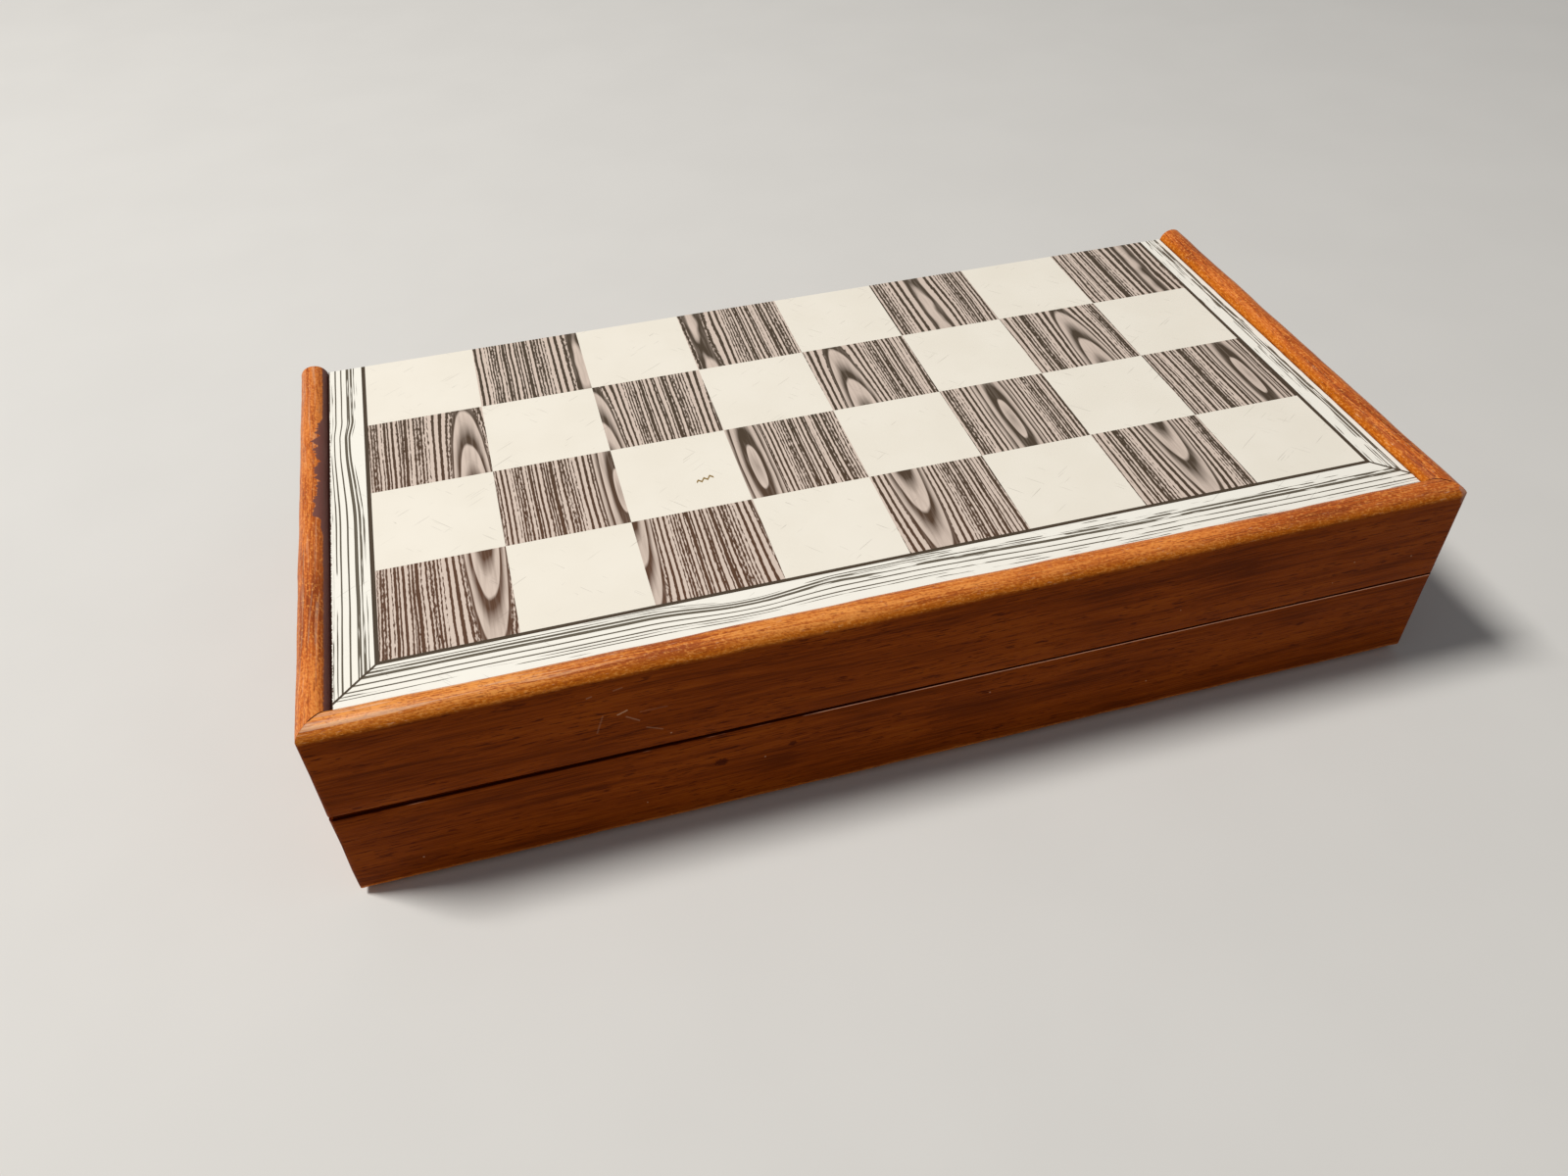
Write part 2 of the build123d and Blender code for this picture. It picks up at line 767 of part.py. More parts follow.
export_halves(magnets, "black_magnets", "white_magnets")
export_halves(felts, "black_felts", "white_felts")
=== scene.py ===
import math
from contextlib import contextmanager

import bmesh
import bpy
from bpy.props import FloatProperty, FloatVectorProperty, PointerProperty
from mathutils import Euler, Matrix, Vector


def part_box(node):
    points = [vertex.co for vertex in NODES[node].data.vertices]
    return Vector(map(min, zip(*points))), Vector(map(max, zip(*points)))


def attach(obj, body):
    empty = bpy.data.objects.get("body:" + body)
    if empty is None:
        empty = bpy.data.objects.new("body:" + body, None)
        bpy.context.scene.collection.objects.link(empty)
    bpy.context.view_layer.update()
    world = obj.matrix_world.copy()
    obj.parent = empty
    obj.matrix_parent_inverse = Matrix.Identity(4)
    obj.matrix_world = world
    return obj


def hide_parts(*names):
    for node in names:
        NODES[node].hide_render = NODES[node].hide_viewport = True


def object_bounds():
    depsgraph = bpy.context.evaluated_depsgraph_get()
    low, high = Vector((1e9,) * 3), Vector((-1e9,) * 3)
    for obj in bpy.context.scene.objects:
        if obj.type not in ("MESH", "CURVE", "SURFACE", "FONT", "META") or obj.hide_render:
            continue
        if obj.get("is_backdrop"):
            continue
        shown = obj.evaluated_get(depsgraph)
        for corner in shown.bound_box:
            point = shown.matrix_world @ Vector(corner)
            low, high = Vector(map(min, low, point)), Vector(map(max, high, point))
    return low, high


bl_info = {
    "name": "Folding Chess Set",
    "version": (1, 0, 0),
    "blender": (4, 5, 0),
    "location": "View3D > Sidebar > Chess Set",
    "description": "Dresses the frame of a folding chess set: wood, printed board, inserts and men",
    "category": "Object",
}

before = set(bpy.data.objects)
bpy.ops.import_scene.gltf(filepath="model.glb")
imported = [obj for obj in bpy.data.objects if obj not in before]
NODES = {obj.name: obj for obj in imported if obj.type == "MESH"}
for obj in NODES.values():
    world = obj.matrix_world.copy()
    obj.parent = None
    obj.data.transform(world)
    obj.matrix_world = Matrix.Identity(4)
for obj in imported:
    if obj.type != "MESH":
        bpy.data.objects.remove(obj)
cad_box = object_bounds()
MM = 0.001

UPPER = 1
LOWER = -1
HALVES = {UPPER: "upper", LOWER: "lower"}
BODIES = {UPPER: "upper_case", LOWER: "lower_case"}
COLOURS = {UPPER: "black", LOWER: "white"}

# Places read from the frame, in metres
FACE_LOW, FACE_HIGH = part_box("upper_playing_face")
BACKING_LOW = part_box("upper_board_backing")[0]
RAIL_LOW, RAIL_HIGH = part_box("upper_front_rail")
END_LOW, END_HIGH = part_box("upper_left_rail")
SEAM = (RAIL_LOW.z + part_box("lower_front_rail")[1].z) / 2
CASE_LEFT = END_LOW.x
FRONT = RAIL_LOW.y
BACK = FACE_HIGH.y


def turned_over():
    """The turn about the seam that takes the upper half into the lower one."""
    about = Vector((0, 0, SEAM))
    return Matrix.Translation(about) @ Matrix.Rotation(math.pi, 4, "Y") @ Matrix.Translation(-about)


def length(name, description, default):
    """A length property in metres."""
    return FloatProperty(name=name, description=description, default=default, unit="LENGTH", precision=5)


def colour(name, description, default):
    """A colour property, scene linear."""
    return FloatVectorProperty(
        name=name, description=description, default=default, subtype="COLOR", size=3, min=0, max=1
    )


def factor(name, description, default, low=0, high=1):
    """A plain number property."""
    return FloatProperty(name=name, description=description, default=default, min=low, max=high)


class BoardSettings(bpy.types.PropertyGroup):
    """Sizes and colours of the printed board."""

    square: length("Square", "Side of one square", 0.030)
    print_shift: length("Print shift", "How far the squares sit towards +X on the sheet", 0.0011)
    line_width: length("Line width", "Width of the line round the squares", 0.00105)
    cream: colour("Cream", "Light squares", (0.86, 0.806, 0.708))
    ground: colour("Grain ground", "Light tone of the dark squares", (0.66, 0.54, 0.46))
    grain: colour("Grain", "Dark tone of the dark squares", (0.066, 0.045, 0.027))
    border: colour("Border", "Ground of the border", (0.89, 0.86, 0.78))
    border_grain: colour("Border grain", "Lines of the border", (0.080, 0.061, 0.035))
    warm_grain: colour("Warm grain", "Dark tone of the squares at the front left", (0.098, 0.044, 0.022))
    scuff: colour("Scuff", "Zigzag scuff in one cream square", (0.27, 0.17, 0.05))
    core: colour("Core", "Cut edge of the sheet", (0.10, 0.055, 0.035))


class WoodSettings(bpy.types.PropertyGroup):
    """Sizes and colours of the varnished rails."""

    crest_gap: length("Crest gap", "Gap between a rail's crest and the board", 0.0002)
    crest_radius: length("Crest radius", "Rounding of a rail's crest", 0.0035)
    rim_arris: length("Rim arris", "Rounding of a rim's outer edge", 0.0004)
    magnet_gap: length("Magnet gap", "Room round a catch magnet", 0.00005)
    corner_radius: length("Corner radius", "Rounding of the case's front corners", 0.0012)
    gape: length("Gape", "How far the lid stands off at its front left corner", 0.0009)
    gape_end: length("Gape end", "Where along the front the lid closes", 0.020)
    cut_spacing: length("Cut spacing", "Distance between the cuts that let a rail wave", 0.0025)
    waviness: length("Waviness", "Depth of the hand-sanded waves in a rail", 0.00022)
    wave_size: length("Wave size", "Length of the waves in a rail", 0.016)
    face_dark: colour("Face dark", "Dark streaks of the upright faces", (0.120, 0.020, 0.001))
    face_middle: colour("Face middle", "Ground of the upright faces", (0.225, 0.040, 0.002))
    face_light: colour("Face light", "Light streaks of the upright faces", (0.300, 0.062, 0.004))
    crest_dark: colour("Crest dark", "Dark streaks of the crests", (0.36, 0.074, 0.011))
    crest_middle: colour("Crest middle", "Ground of the crests", (0.62, 0.172, 0.021))
    crest_light: colour("Crest light", "Light streaks of the crests", (0.84, 0.335, 0.075))
    orange_dark: colour("Orange dark", "Dark streaks of the redder crests", (0.22, 0.035, 0.004))
    orange_middle: colour("Orange middle", "Ground of the redder crests", (0.53, 0.113, 0.013))
    orange_light: colour("Orange light", "Light streaks of the redder crests", (0.72, 0.205, 0.034))
    # Gathered varnish and chips, with painted shade, on the inner flanks.
    stain_and_shade: colour("Stain", "Varnish gathered on the inner flanks", (0.190, 0.070, 0.055))
    # Also the colour of the painted shade along the seam and in the opened mitres.
    dark_marks_and_gap_shade: colour("Fleck", "Short dark pores of the upright faces", (0.055, 0.006, 0.001))
    bruise: colour("Bruise", "Knocked corner at the front right", (0.40, 0.24, 0.19))
    golden: colour("Golden", "Lower band of the crests", (0.58, 0.152, 0.006))
    bared: colour("Bared", "Thin line bared along the lower rim", (1.0, 0.48, 0.29))
    # Also the tone of the painted highlight streaks along the crests' tops.
    worn_and_highlight: colour("Worn", "Wood bared along the arrises", (0.74, 0.47, 0.30))


class InsertSettings(bpy.types.PropertyGroup):
    """Sizes and colours of the flocked inserts and the felts."""

    voxel: length("Voxel", "Cell of the foam's surface", 0.0010)
    pocket_gap: length("Pocket gap", "Room round a lying man", 0.0005)
    felt_inset: length("Felt inset", "How far a felt stays inside a man's foot", 0.0004)
    flock: colour("Flock", "Flocking of the inserts", (0.018, 0.085, 0.045))
    felt: colour("Felt", "Felt under the men", (0.015, 0.115, 0.055))


class MenSettings(bpy.types.PropertyGroup):
    """Colours of the men."""

    white: colour("White", "White men", (0.74, 0.64, 0.44))
    black: colour("Black", "Black men", (0.018, 0.013, 0.011))


class StageSettings(bpy.types.PropertyGroup):
    """Camera, floor and lights."""

    place: FloatVectorProperty(
        name="Place",
        description="Where the camera stands",
        default=(-0.08054, -0.24955, 0.24089),
        subtype="XYZ",
    )
    turn: FloatVectorProperty(
        name="Turn",
        description="How the camera is turned",
        default=(math.radians(47.033), math.radians(1.178), math.radians(-15.582)),
        subtype="EULER",
    )
    lens: factor("Lens", "Focal length in millimetres on a 36 mm sensor", 28.13, 10, 200)
    floor: colour("Floor", "Colour of the floor", (0.66, 0.645, 0.62))
    key_power: factor("Key power", "Watts of the key light", 40.0, 0, 1000)
    fill_power: factor("Fill power", "Watts of the fill light", 0.6, 0, 1000)
    sky: factor("Sky", "Strength of the room's light", 0.16, 0, 10)


# Materials


def math_method(operation, swapped=False):
    """A method that adds a Math node. swapped puts the other number first."""

    def method(self, other=0.0):
        pair = (other, self) if swapped else (self, other)
        return self.recipe.math(operation, *pair)

    return method


class Value:
    """A number that a material works out point by point."""

    def __init__(self, recipe, socket):
        self.recipe = recipe
        self.socket = socket

    __add__ = __radd__ = math_method("ADD")
    __sub__ = math_method("SUBTRACT")
    __rsub__ = math_method("SUBTRACT", swapped=True)
    __mul__ = __rmul__ = math_method("MULTIPLY")
    __truediv__ = math_method("DIVIDE")
    __pow__ = math_method("POWER")
    __abs__ = math_method("ABSOLUTE")
    floor = math_method("FLOOR")
    fraction = math_method("FRACT")
    below = math_method("LESS_THAN")
    above = math_method("GREATER_THAN")
    most = math_method("MAXIMUM")
    least = math_method("MINIMUM")

    def step(self, low, high):
        """0 below low and 1 above high, smooth between them."""
        return self.recipe.smooth(self, low, high)


class Recipe:
    """A material under construction. Positions are in millimetres."""

    def __init__(self, name, **finish):
        self.material = bpy.data.materials.new(name)
        self.material.use_nodes = True
        self.nodes = self.material.node_tree.nodes
        self.links = self.material.node_tree.links
        self.shader = self.nodes["Principled BSDF"]
        self.settle(self.shader, **finish)
        coordinates = self.nodes.new("ShaderNodeTexCoord")
        scale = self.nodes.new("ShaderNodeVectorMath")
        scale.operation = "SCALE"
        self.settle(scale, Scale=1 / MM)
        self.links.new(coordinates.outputs["Object"], scale.inputs[0])
        apart = self.nodes.new("ShaderNodeSeparateXYZ")
        self.links.new(scale.outputs[0], apart.inputs[0])
        self.x, self.y, self.z = (Value(self, apart.outputs[axis]) for axis in "XYZ")

    def settle(self, node, **numbers):
        """Sets sockets of a node to numbers. A name has _ where the socket's has a blank."""
        for socket, number in numbers.items():
            node.inputs[socket.replace("_", " ")].default_value = number

    def feed(self, socket, value):
        """Links a value to a socket, or sets the socket to a plain number or colour."""
        if isinstance(value, Value):
            self.links.new(value.socket, socket)
        elif isinstance(value, bpy.types.NodeSocket):
            self.links.new(value, socket)
        elif socket.type == "RGBA":
            socket.default_value = (*value, 1)
        else:
            socket.default_value = value

    def math(self, operation, a, b):
        node = self.nodes.new("ShaderNodeMath")
        node.operation = operation
        self.feed(node.inputs[0], a)
        self.feed(node.inputs[1], b)
        return Value(self, node.outputs[0])

    def smooth(self, value, low, high):
        node = self.nodes.new("ShaderNodeMapRange")
        node.interpolation_type = "SMOOTHSTEP"
        for socket, number in zip(("Value", "From Min", "From Max"), (value, low, high)):
            self.feed(node.inputs[socket], number)
        return Value(self, node.outputs["Result"])

    def vector(self, x, y, z=0.0):
        node = self.nodes.new("ShaderNodeCombineXYZ")
        for socket, value in zip(node.inputs, (x, y, z)):
            self.feed(socket, value)
        return node.outputs[0]

    def spot(self, *scales):
        """The point's coordinates, each times its own scale, or all three times one scale."""
        if len(scales) == 1:
            scales = scales * 3
        return [place * scale for place, scale in zip((self.x, self.y, self.z), scales)]

    def noise(self, place, detail=2.0, roughness=0.5):
        """Noise with cells of about one unit, at two or three coordinates or along one number."""
        node = self.nodes.new("ShaderNodeTexNoise")
        self.settle(node, Scale=1.0, Detail=detail, Roughness=roughness)
        if isinstance(place, Value):
            node.noise_dimensions = "1D"
            self.feed(node.inputs["W"], place)
        else:
            self.feed(node.inputs["Vector"], self.vector(*place))
        return Value(self, node.outputs["Fac"])

    def cells(self, place):
        """Distance to the nearest of scattered points, about one unit apart."""
        node = self.nodes.new("ShaderNodeTexVoronoi")
        self.settle(node, Scale=1.0)
        self.feed(node.inputs["Vector"], self.vector(*place))
        return Value(self, node.outputs["Distance"])

    def mix(self, amount, a, b):
        """Colour a where amount is 0 and colour b where it is 1."""
        node = self.nodes.new("ShaderNodeMix")
        node.data_type = "RGBA"
        colour_a, colour_b, colour_out = 6, 7, 2
        self.feed(node.inputs["Factor"], amount)
        self.feed(node.inputs[colour_a], a)
        self.feed(node.inputs[colour_b], b)
        return node.outputs[colour_out]

    def ramp(self, amount, places, tones):
        """Colour that runs through tones, one at each of some places between 0 and 1."""
        node = self.nodes.new("ShaderNodeValToRGB")
        elements = node.color_ramp.elements
        while len(elements) < len(places):
            elements.new(1.0)
        for element, place, tone in zip(elements, places, tones):
            element.position = place
            element.color = (*tone, 1)
        self.feed(node.inputs[0], amount)
        return node.outputs["Color"]

    def profile(self, amount, stops):
        """A number along a list of (place, number)."""
        places, levels = zip(*stops)
        return self.math("ADD", self.ramp(amount, places, [(level,) * 3 for level in levels]), 0.0)

    def between(self, amount, a, b):
        """Number a where amount is 0 and number b where it is 1."""
        return a + (b - a) * amount

    def finish(self, tone, roughness=None, height=None, depth=0.0):
        """Links colour, roughness and bump. depth is the bump's depth in millimetres."""
        self.feed(self.shader.inputs["Base Color"], tone)
        if roughness is not None:
            self.feed(self.shader.inputs["Roughness"], roughness)
        if height is not None:
            bump = self.nodes.new("ShaderNodeBump")
            self.settle(bump, Strength=1.0, Distance=depth * MM)
            self.feed(bump.inputs["Height"], height)
            self.links.new(bump.outputs[0], self.shader.inputs["Normal"])
        return self.material


# Darkness of a flame's rings from its heart outwards, as (share of the flame's reach, darkness)
FLAME = (
    (0.00, 0.45),
    (0.17, 0.15),
    (0.23, 0.05),
    (0.25, 1.00),
    (0.37, 1.00),
    (0.48, 0.15),
    (0.58, 0.05),
    (0.60, 1.00),
    (0.64, 0.95),
    (0.73, 0.20),
    (0.79, 0.05),
    (0.81, 1.00),
    (0.86, 0.90),
)
FLAME_REACH = 0.2

# Lines of the border's grain: how far outside the squares, how wide, both in millimetres, and how dark
BORDER = (
    (1.35, 0.15, 0.40),
    (2.05, 0.25, 0.52),
    (2.90, 0.55, 0.66),
    (4.00, 0.80, 0.76),
    (5.90, 0.30, 1.00),
    (7.60, 0.30, 1.00),
    (8.55, 0.25, 0.56),
    (9.40, 0.25, 0.53),
)
# How wide the border's profile is and how far a line fades, in millimetres, and how dark bare paper is
BORDER_SPAN = 12
BORDER_SOFT = 0.09
PAPER = 0.05


def flame_grain(recipe, u, v):
    """How dark the wood grain is at u, v, in squares: nested flames in a row and straight lines between."""
    first, pitch, middle = 0.85, 1.155, 1.43
    growth, slimness, bluntness, lean = 0.74, 0.1185, 2.6, 0.10
    wobble = recipe.noise((u * 3.0, v * 1.1), 2.0) - 0.5
    index = ((u - first) / pitch + 0.5).floor()
    across = u - first - index * pitch + wobble * 0.030
    limit = v.above(3) * (wobble * 0.04 - 0.0075) + 0.1675
    reach = (abs(v - middle + wobble * 0.15) ** growth * slimness).least(limit)
    ring = (abs(across) ** bluntness + reach ** bluntness) ** (1 / bluntness) + across * lean
    lines = recipe.noise(ring * 44 + index * 0.35 + 3.0, 0.0)
    bands = recipe.noise(ring * 9 + index * 0.2 + 20, 1.0)
    specks = recipe.noise((u * 40, v * 2.5), 1.0) - 0.5
    dots = recipe.noise((u * 95, v * 18), 1.0, 0.6) - 0.5
    straight = (lines + (bands - 0.5) * 0.38 + specks * 0.20 + dots * 0.40).step(0.46, 0.56)
    flame = recipe.profile(ring / FLAME_REACH, FLAME) + specks * 0.6
    return recipe.between(ring.step(0.170, 0.176), flame, straight)


def border_profile():
    """Stops of a profile across the border that is dark along its lines and fades beside them."""
    stops = []
    for place, width, darkness in BORDER:
        inner, outer = place - width / 2, place + width / 2
        stops += [(inner - BORDER_SOFT, PAPER), (inner, darkness)]
        stops += [(outer, darkness), (outer + BORDER_SOFT, PAPER)]
    return [(place / BORDER_SPAN, level) for place, level in stops]


def border_lines(recipe, side, u, v, outside, in_front, in_left):
    """How dark the border's grain is at u, v. outside is the distance from the squares, all in squares."""
    front_rise, front_fall, left_rise, left_fall = (1.9, 2.65), (2.70, 3.4), (1.65, 2.75), (2.84, 3.14)
    right = (1 - in_left) * (1 - in_front)
    along = u * in_front + v * (1 - in_front) + in_front * 30 + in_left * 60
    front_knot = u.step(*front_rise) * (1 - u.step(*front_fall)) * in_front
    left_knot = v.step(*left_rise) * (1 - v.step(*left_fall) * 0.5) * in_left
    knot = front_knot + left_knot
    drift = u.step(3.6, 6.0) * in_front * 0.058 + right * 0.062
    sway = recipe.noise((along * 0.9, outside * 1.5, 4.0), 2.0) - 0.5
    bent = (outside - knot * 0.087 - drift + sway * 0.018) / (1 - knot * 0.2)
    ink = recipe.profile(bent * (side / BORDER_SPAN), border_profile())
    strands = recipe.noise((along * 0.9, bent * 55), 1.0) - 0.5
    dashes = recipe.noise((along * 3.2, bent * 42), 1.0, 0.6) - 0.5
    rough_part = right + in_front * u.step(1.5, 5.0)
    faded = rough_part * outside.step(0.20, 0.24) * 0.22
    return (ink - faded + strands * 1.5 + dashes * (0.6 + rough_part * 1.3)).step(0.45, 0.55)


def printed_laminate(board, half):
    """Cream and wood-grain squares with a grained border, printed on a thin sheet."""
    recipe = Recipe(HALVES[half] + "_print", Specular_IOR_Level=0.4)
    side = board.square / MM
    left = board.print_shift / MM - 4 * side
    u = (recipe.x * half - left) / side
    v = (recipe.y - BACK / MM) / side + 4
    odd = ((u.floor() + v.floor()) / 2).fraction().above(0.25)
    beside = (0.0 - u).most(u - 8)
    outside = (0.0 - v).most(beside)
    front_strip = (0.0 - v) - beside
    in_front = front_strip.above(0)
    in_left = u.below(0) * (1 - in_front)
    mottle = recipe.noise(recipe.spot(0.05, 0.05), 3.0)
    grime = recipe.noise(recipe.spot(1.6, 1.6), 4.0, 0.75)
    yellowed = [c * k for c, k in zip(board.cream, (0.965, 0.96, 0.95))]
    cream = recipe.mix(mottle.step(0.3, 0.7), board.cream, yellowed)
    line_tone = recipe.mix((u + v * 2).step(2.0, 8.0), board.warm_grain, board.grain)
    grain = recipe.mix(flame_grain(recipe, u, v), board.ground, line_tone)
    squares = recipe.mix(odd, grain, cream)
    ink = border_lines(recipe, side, u, v, outside, in_front, in_left) * 0.95
    strip = recipe.mix(ink, board.border, board.border_grain)
    line_width = board.line_width / board.square
    framing = outside.below(line_width).most(abs(front_strip).below(0.4 * line_width))
    strip = recipe.mix(framing, strip, board.grain)
    face = recipe.mix(outside.above(0), squares, strip)
    marks = scratches(recipe, 1.1, 2.0).most(scratches(recipe, -0.7, 9.0))
    marks = marks.most(grime.step(0.71, 0.77) * 0.5)
    marks = marks.most(recipe.cells(recipe.spot(0.035, 0.035)).below(0.008))
    face = recipe.mix(marks * 0.30, face, board.grain)
    if half == UPPER:
        face = recipe.mix(zigzag_scuff(u, v), face, board.scuff)
    cut_depth, ragged = 0.12, (grime - 0.5) * 1.2 + 0.15
    edge = ((recipe.z - SEAM / MM) * half).below((FACE_HIGH.z - SEAM) / MM - cut_depth)
    cut = (recipe.x * half - FACE_LOW.x / MM).below(ragged)
    tone = recipe.mix(edge.most(cut), face, board.core)
    return recipe.finish(tone, mottle * 0.14 + 0.30, grime + marks * -0.6, 0.02)


def scratches(recipe, slope, seed):
    """Sparse hairlines, long across a slope and thin along it."""
    across = recipe.y + recipe.x * slope
    run = recipe.x - recipe.y * slope
    hair = recipe.noise((across * 2.2, run * 0.06, seed), 1.0)
    patch = recipe.noise((*recipe.spot(0.09, 0.09), seed + 5), 1.0)
    return hair.step(0.70, 0.75) * patch.above(0.50)


def zigzag_scuff(u, v):
    """A small zigzag scuff in one cream square."""
    middle_u, middle_v, reach, rise, half_width = 2.69, 1.37, 0.075, 0.32, 0.013
    tooth = abs((u * 19).fraction() - 0.5) * 0.07
    offset = abs(v - middle_v - (u - middle_u) * rise + 0.0125 - tooth)
    return offset.below(half_width) * abs(u - middle_u).below(reach)


# How far along the grain, in millimetres, the lower half's wood was cut from the upper half's
OTHER_BOARD = 310


class WoodRecipe(Recipe):
    """A recipe for straight-grained wood with its grain along X or Y."""

    def __init__(self, name, along, **finish):
        super().__init__(name, **finish)
        self.along = along
        self.lower = self.z.below(SEAM / MM)
        self.from_seam = abs(self.z - SEAM / MM)
        run, cross = (self.x, self.y) if along == "X" else (self.y, self.x)
        self.run = run + self.lower * OTHER_BOARD
        sway = self.noise((self.run * 0.010, cross * 0.05, self.z * 0.05), 2.0) - 0.5
        self.cross = cross + sway * 4
        self.height = self.z + sway * 5
        self.fibres = self.strands(0.06, 3.0, 3.0, 0.65)
        self.pores = self.strands(0.22, 2.6, 2.0, 0.5)
        self.rubbed = self.strands(0.30, 2.2, 3.0, 0.75)
        aslant = self.run * 1.1 + self.cross * 0.7
        self.curl = self.noise((aslant, self.cross * 2.1, self.height * 2.1), 3.0, 0.65)
        self.clouds = self.noise((self.run * 0.030, self.cross * 0.07, self.z * 0.10), 2.0)
        self.level = self.strands(0.012, 0.42, 4.0, 0.6) * 0.30 + self.fibres * 0.42 + self.clouds * 0.28
        self.ragged = self.noise(self.spot(0.35), 4.0, 0.7) - 0.5

    def strands(self, lengthways, across, detail, roughness):
        """Noise drawn out along the grain. lengthways and across are its scales per millimetre."""
        place = self.run * lengthways, self.cross * across, self.height * across
        return self.noise(place, detail, roughness)


def redder_to_the_right(recipe):
    """The front crest's orange, from a tan left end to a red right end."""
    return recipe.x.step(-90, 110) * 0.85 + 0.1


def varnished_wood(wood, name, along, flank=None, orange=0.0):
    """Reddish varnish over straight grain. orange is its crest's tone: 0 tan, 1 red, or a function."""
    recipe = WoodRecipe(name, along, Coat_Roughness=0.3)
    if callable(orange):
        orange = orange(recipe)
    rounding = (RAIL_HIGH.z - SEAM - wood.crest_radius) / MM
    on_top = recipe.from_seam.step(rounding + 1.5, rounding + 3.2)
    on_crest = (recipe.from_seam + recipe.ragged * 1.1).step(rounding + 0.1, rounding + 1.3)
    tone = recipe.mix(on_crest, face_tone(recipe, wood), crest_tone(recipe, wood, orange, on_top))
    # Wear and painted highlights in a paler tone.
    tone = recipe.mix(wear_and_highlights(recipe, rounding, on_top, on_crest), tone, wood.worn_and_highlight)
    tone = knocked_corner(recipe, wood, tone)
    tone = seam_shade_and_wear(recipe, wood, tone)
    if along == "X":
        tone = front_marks(recipe, wood, tone)
    # Painted shade in the opened inner ends of the front mitres.
    tone = recipe.mix(mitre_gap_shade(recipe) * on_crest, tone, wood.dark_marks_and_gap_shade)
    # Gathered varnish and painted shade on the inner flank.
    if flank is not None:
        tone = recipe.mix(flank(recipe), tone, wood.stain_and_shade)
    recipe.feed(recipe.shader.inputs["Coat Weight"], on_top * 0.16)
    recipe.feed(recipe.shader.inputs["Specular IOR Level"], on_top * 0.25 + 0.02)
    height = recipe.fibres * 0.5 + recipe.rubbed * 0.7 + recipe.curl * 0.6 + recipe.pores * -0.4
    return recipe.finish(tone, recipe.fibres * 0.20 + 0.22, height, 0.07)


def face_tone(recipe, wood):
    """The dark red wood of a rail's upright faces, with short dark pores."""
    tones = wood.face_dark, wood.face_middle, wood.face_light
    face = recipe.ramp(recipe.level, (0.40, 0.50, 0.60), tones)
    pores = recipe.pores.step(0.59, 0.66) * recipe.clouds.step(0.36, 0.54)
    return recipe.mix(pores * 0.80, face, wood.dark_marks_and_gap_shade)


def crest_tone(recipe, wood, orange, on_top):
    """The light wood of a rail's crest, curly and golden at its lower edge."""
    tan_tones = wood.crest_dark, wood.crest_middle, wood.crest_light
    red_tones = wood.orange_dark, wood.orange_middle, wood.orange_light
    tan = recipe.ramp(recipe.level, (0.44, 0.50, 0.57), tan_tones)
    red = recipe.ramp(recipe.level, (0.43, 0.50, 0.58), red_tones)
    crest = recipe.mix(orange, tan, red)
    crest = recipe.mix((1 - on_top) * 0.7, crest, wood.golden)
    crest = recipe.mix(recipe.curl.step(0.52, 0.64) * 0.65, crest, wood.crest_light)
    crest = recipe.mix((1 - recipe.curl.step(0.36, 0.48)) * 0.65, crest, wood.crest_dark)
    return recipe.mix(recipe.pores.step(0.60, 0.68) * 0.6, crest, wood.orange_dark)


def wear_and_highlights(recipe, rounding, on_top, on_crest):
    """How far the varnish has rubbed off, in scuffed spots on the crest, chips below it and single nicks,
    with painted highlight streaks along the crests' tops near their left ends.
    """
    left_end = (1 - recipe.x.step(-120, -40)) * (1.0 if recipe.along == "X" else 0.5)
    # Painted highlight: pale streaks along the crests' tops towards the left end, where the key light
    # glints on the varnish.
    painted_highlights = (recipe.strands(0.04, 1.4, 2.0, 0.6) + left_end * 0.10).step(0.60, 0.70)
    painted_highlights = painted_highlights * left_end * on_top * 0.6
    scuffs_and_highlights = (recipe.rubbed.step(0.62, 0.72) * 0.6).most(painted_highlights) * on_crest
    chips = (1 - abs(recipe.from_seam - rounding - 0.6).step(0.15, 0.40)) * recipe.ragged.above(0.20)
    nicks = recipe.cells(recipe.spot(0.12)).below(0.028)
    return scuffs_and_highlights.most(chips * 0.7).most(nicks * 0.4)


def mitre_gap_shade(recipe):
    """Painted shade in the inner end of a mitre at the front corners, where the joint has opened."""
    from_front = recipe.y - FRONT / MM
    from_side = -CASE_LEFT / MM - abs(recipe.x)
    return abs(from_front - from_side).below(0.22) * from_front.above(3.4)


def knocked_corner(recipe, wood, tone):
    """Bares the board side's front right corner, where the case has been knocked."""
    sideways = -CASE_LEFT / MM - recipe.x
    forwards = recipe.y - FRONT / MM
    down = RAIL_HIGH.z / MM - recipe.z
    away = (sideways * sideways + forwards * forwards * 0.4 + (down - 2.6) ** 2 * 0.5) ** 0.5
    knock = 1 - (away + recipe.ragged * 5).step(1.7, 2.5)
    edge = (1 - (sideways + (down - 1.4) * 0.5 + recipe.ragged * 3).step(0.2, 0.6)) * down.below(4)
    return recipe.mix(knock.most(edge * recipe.x.above(0)) * 0.75, tone, wood.bruise)


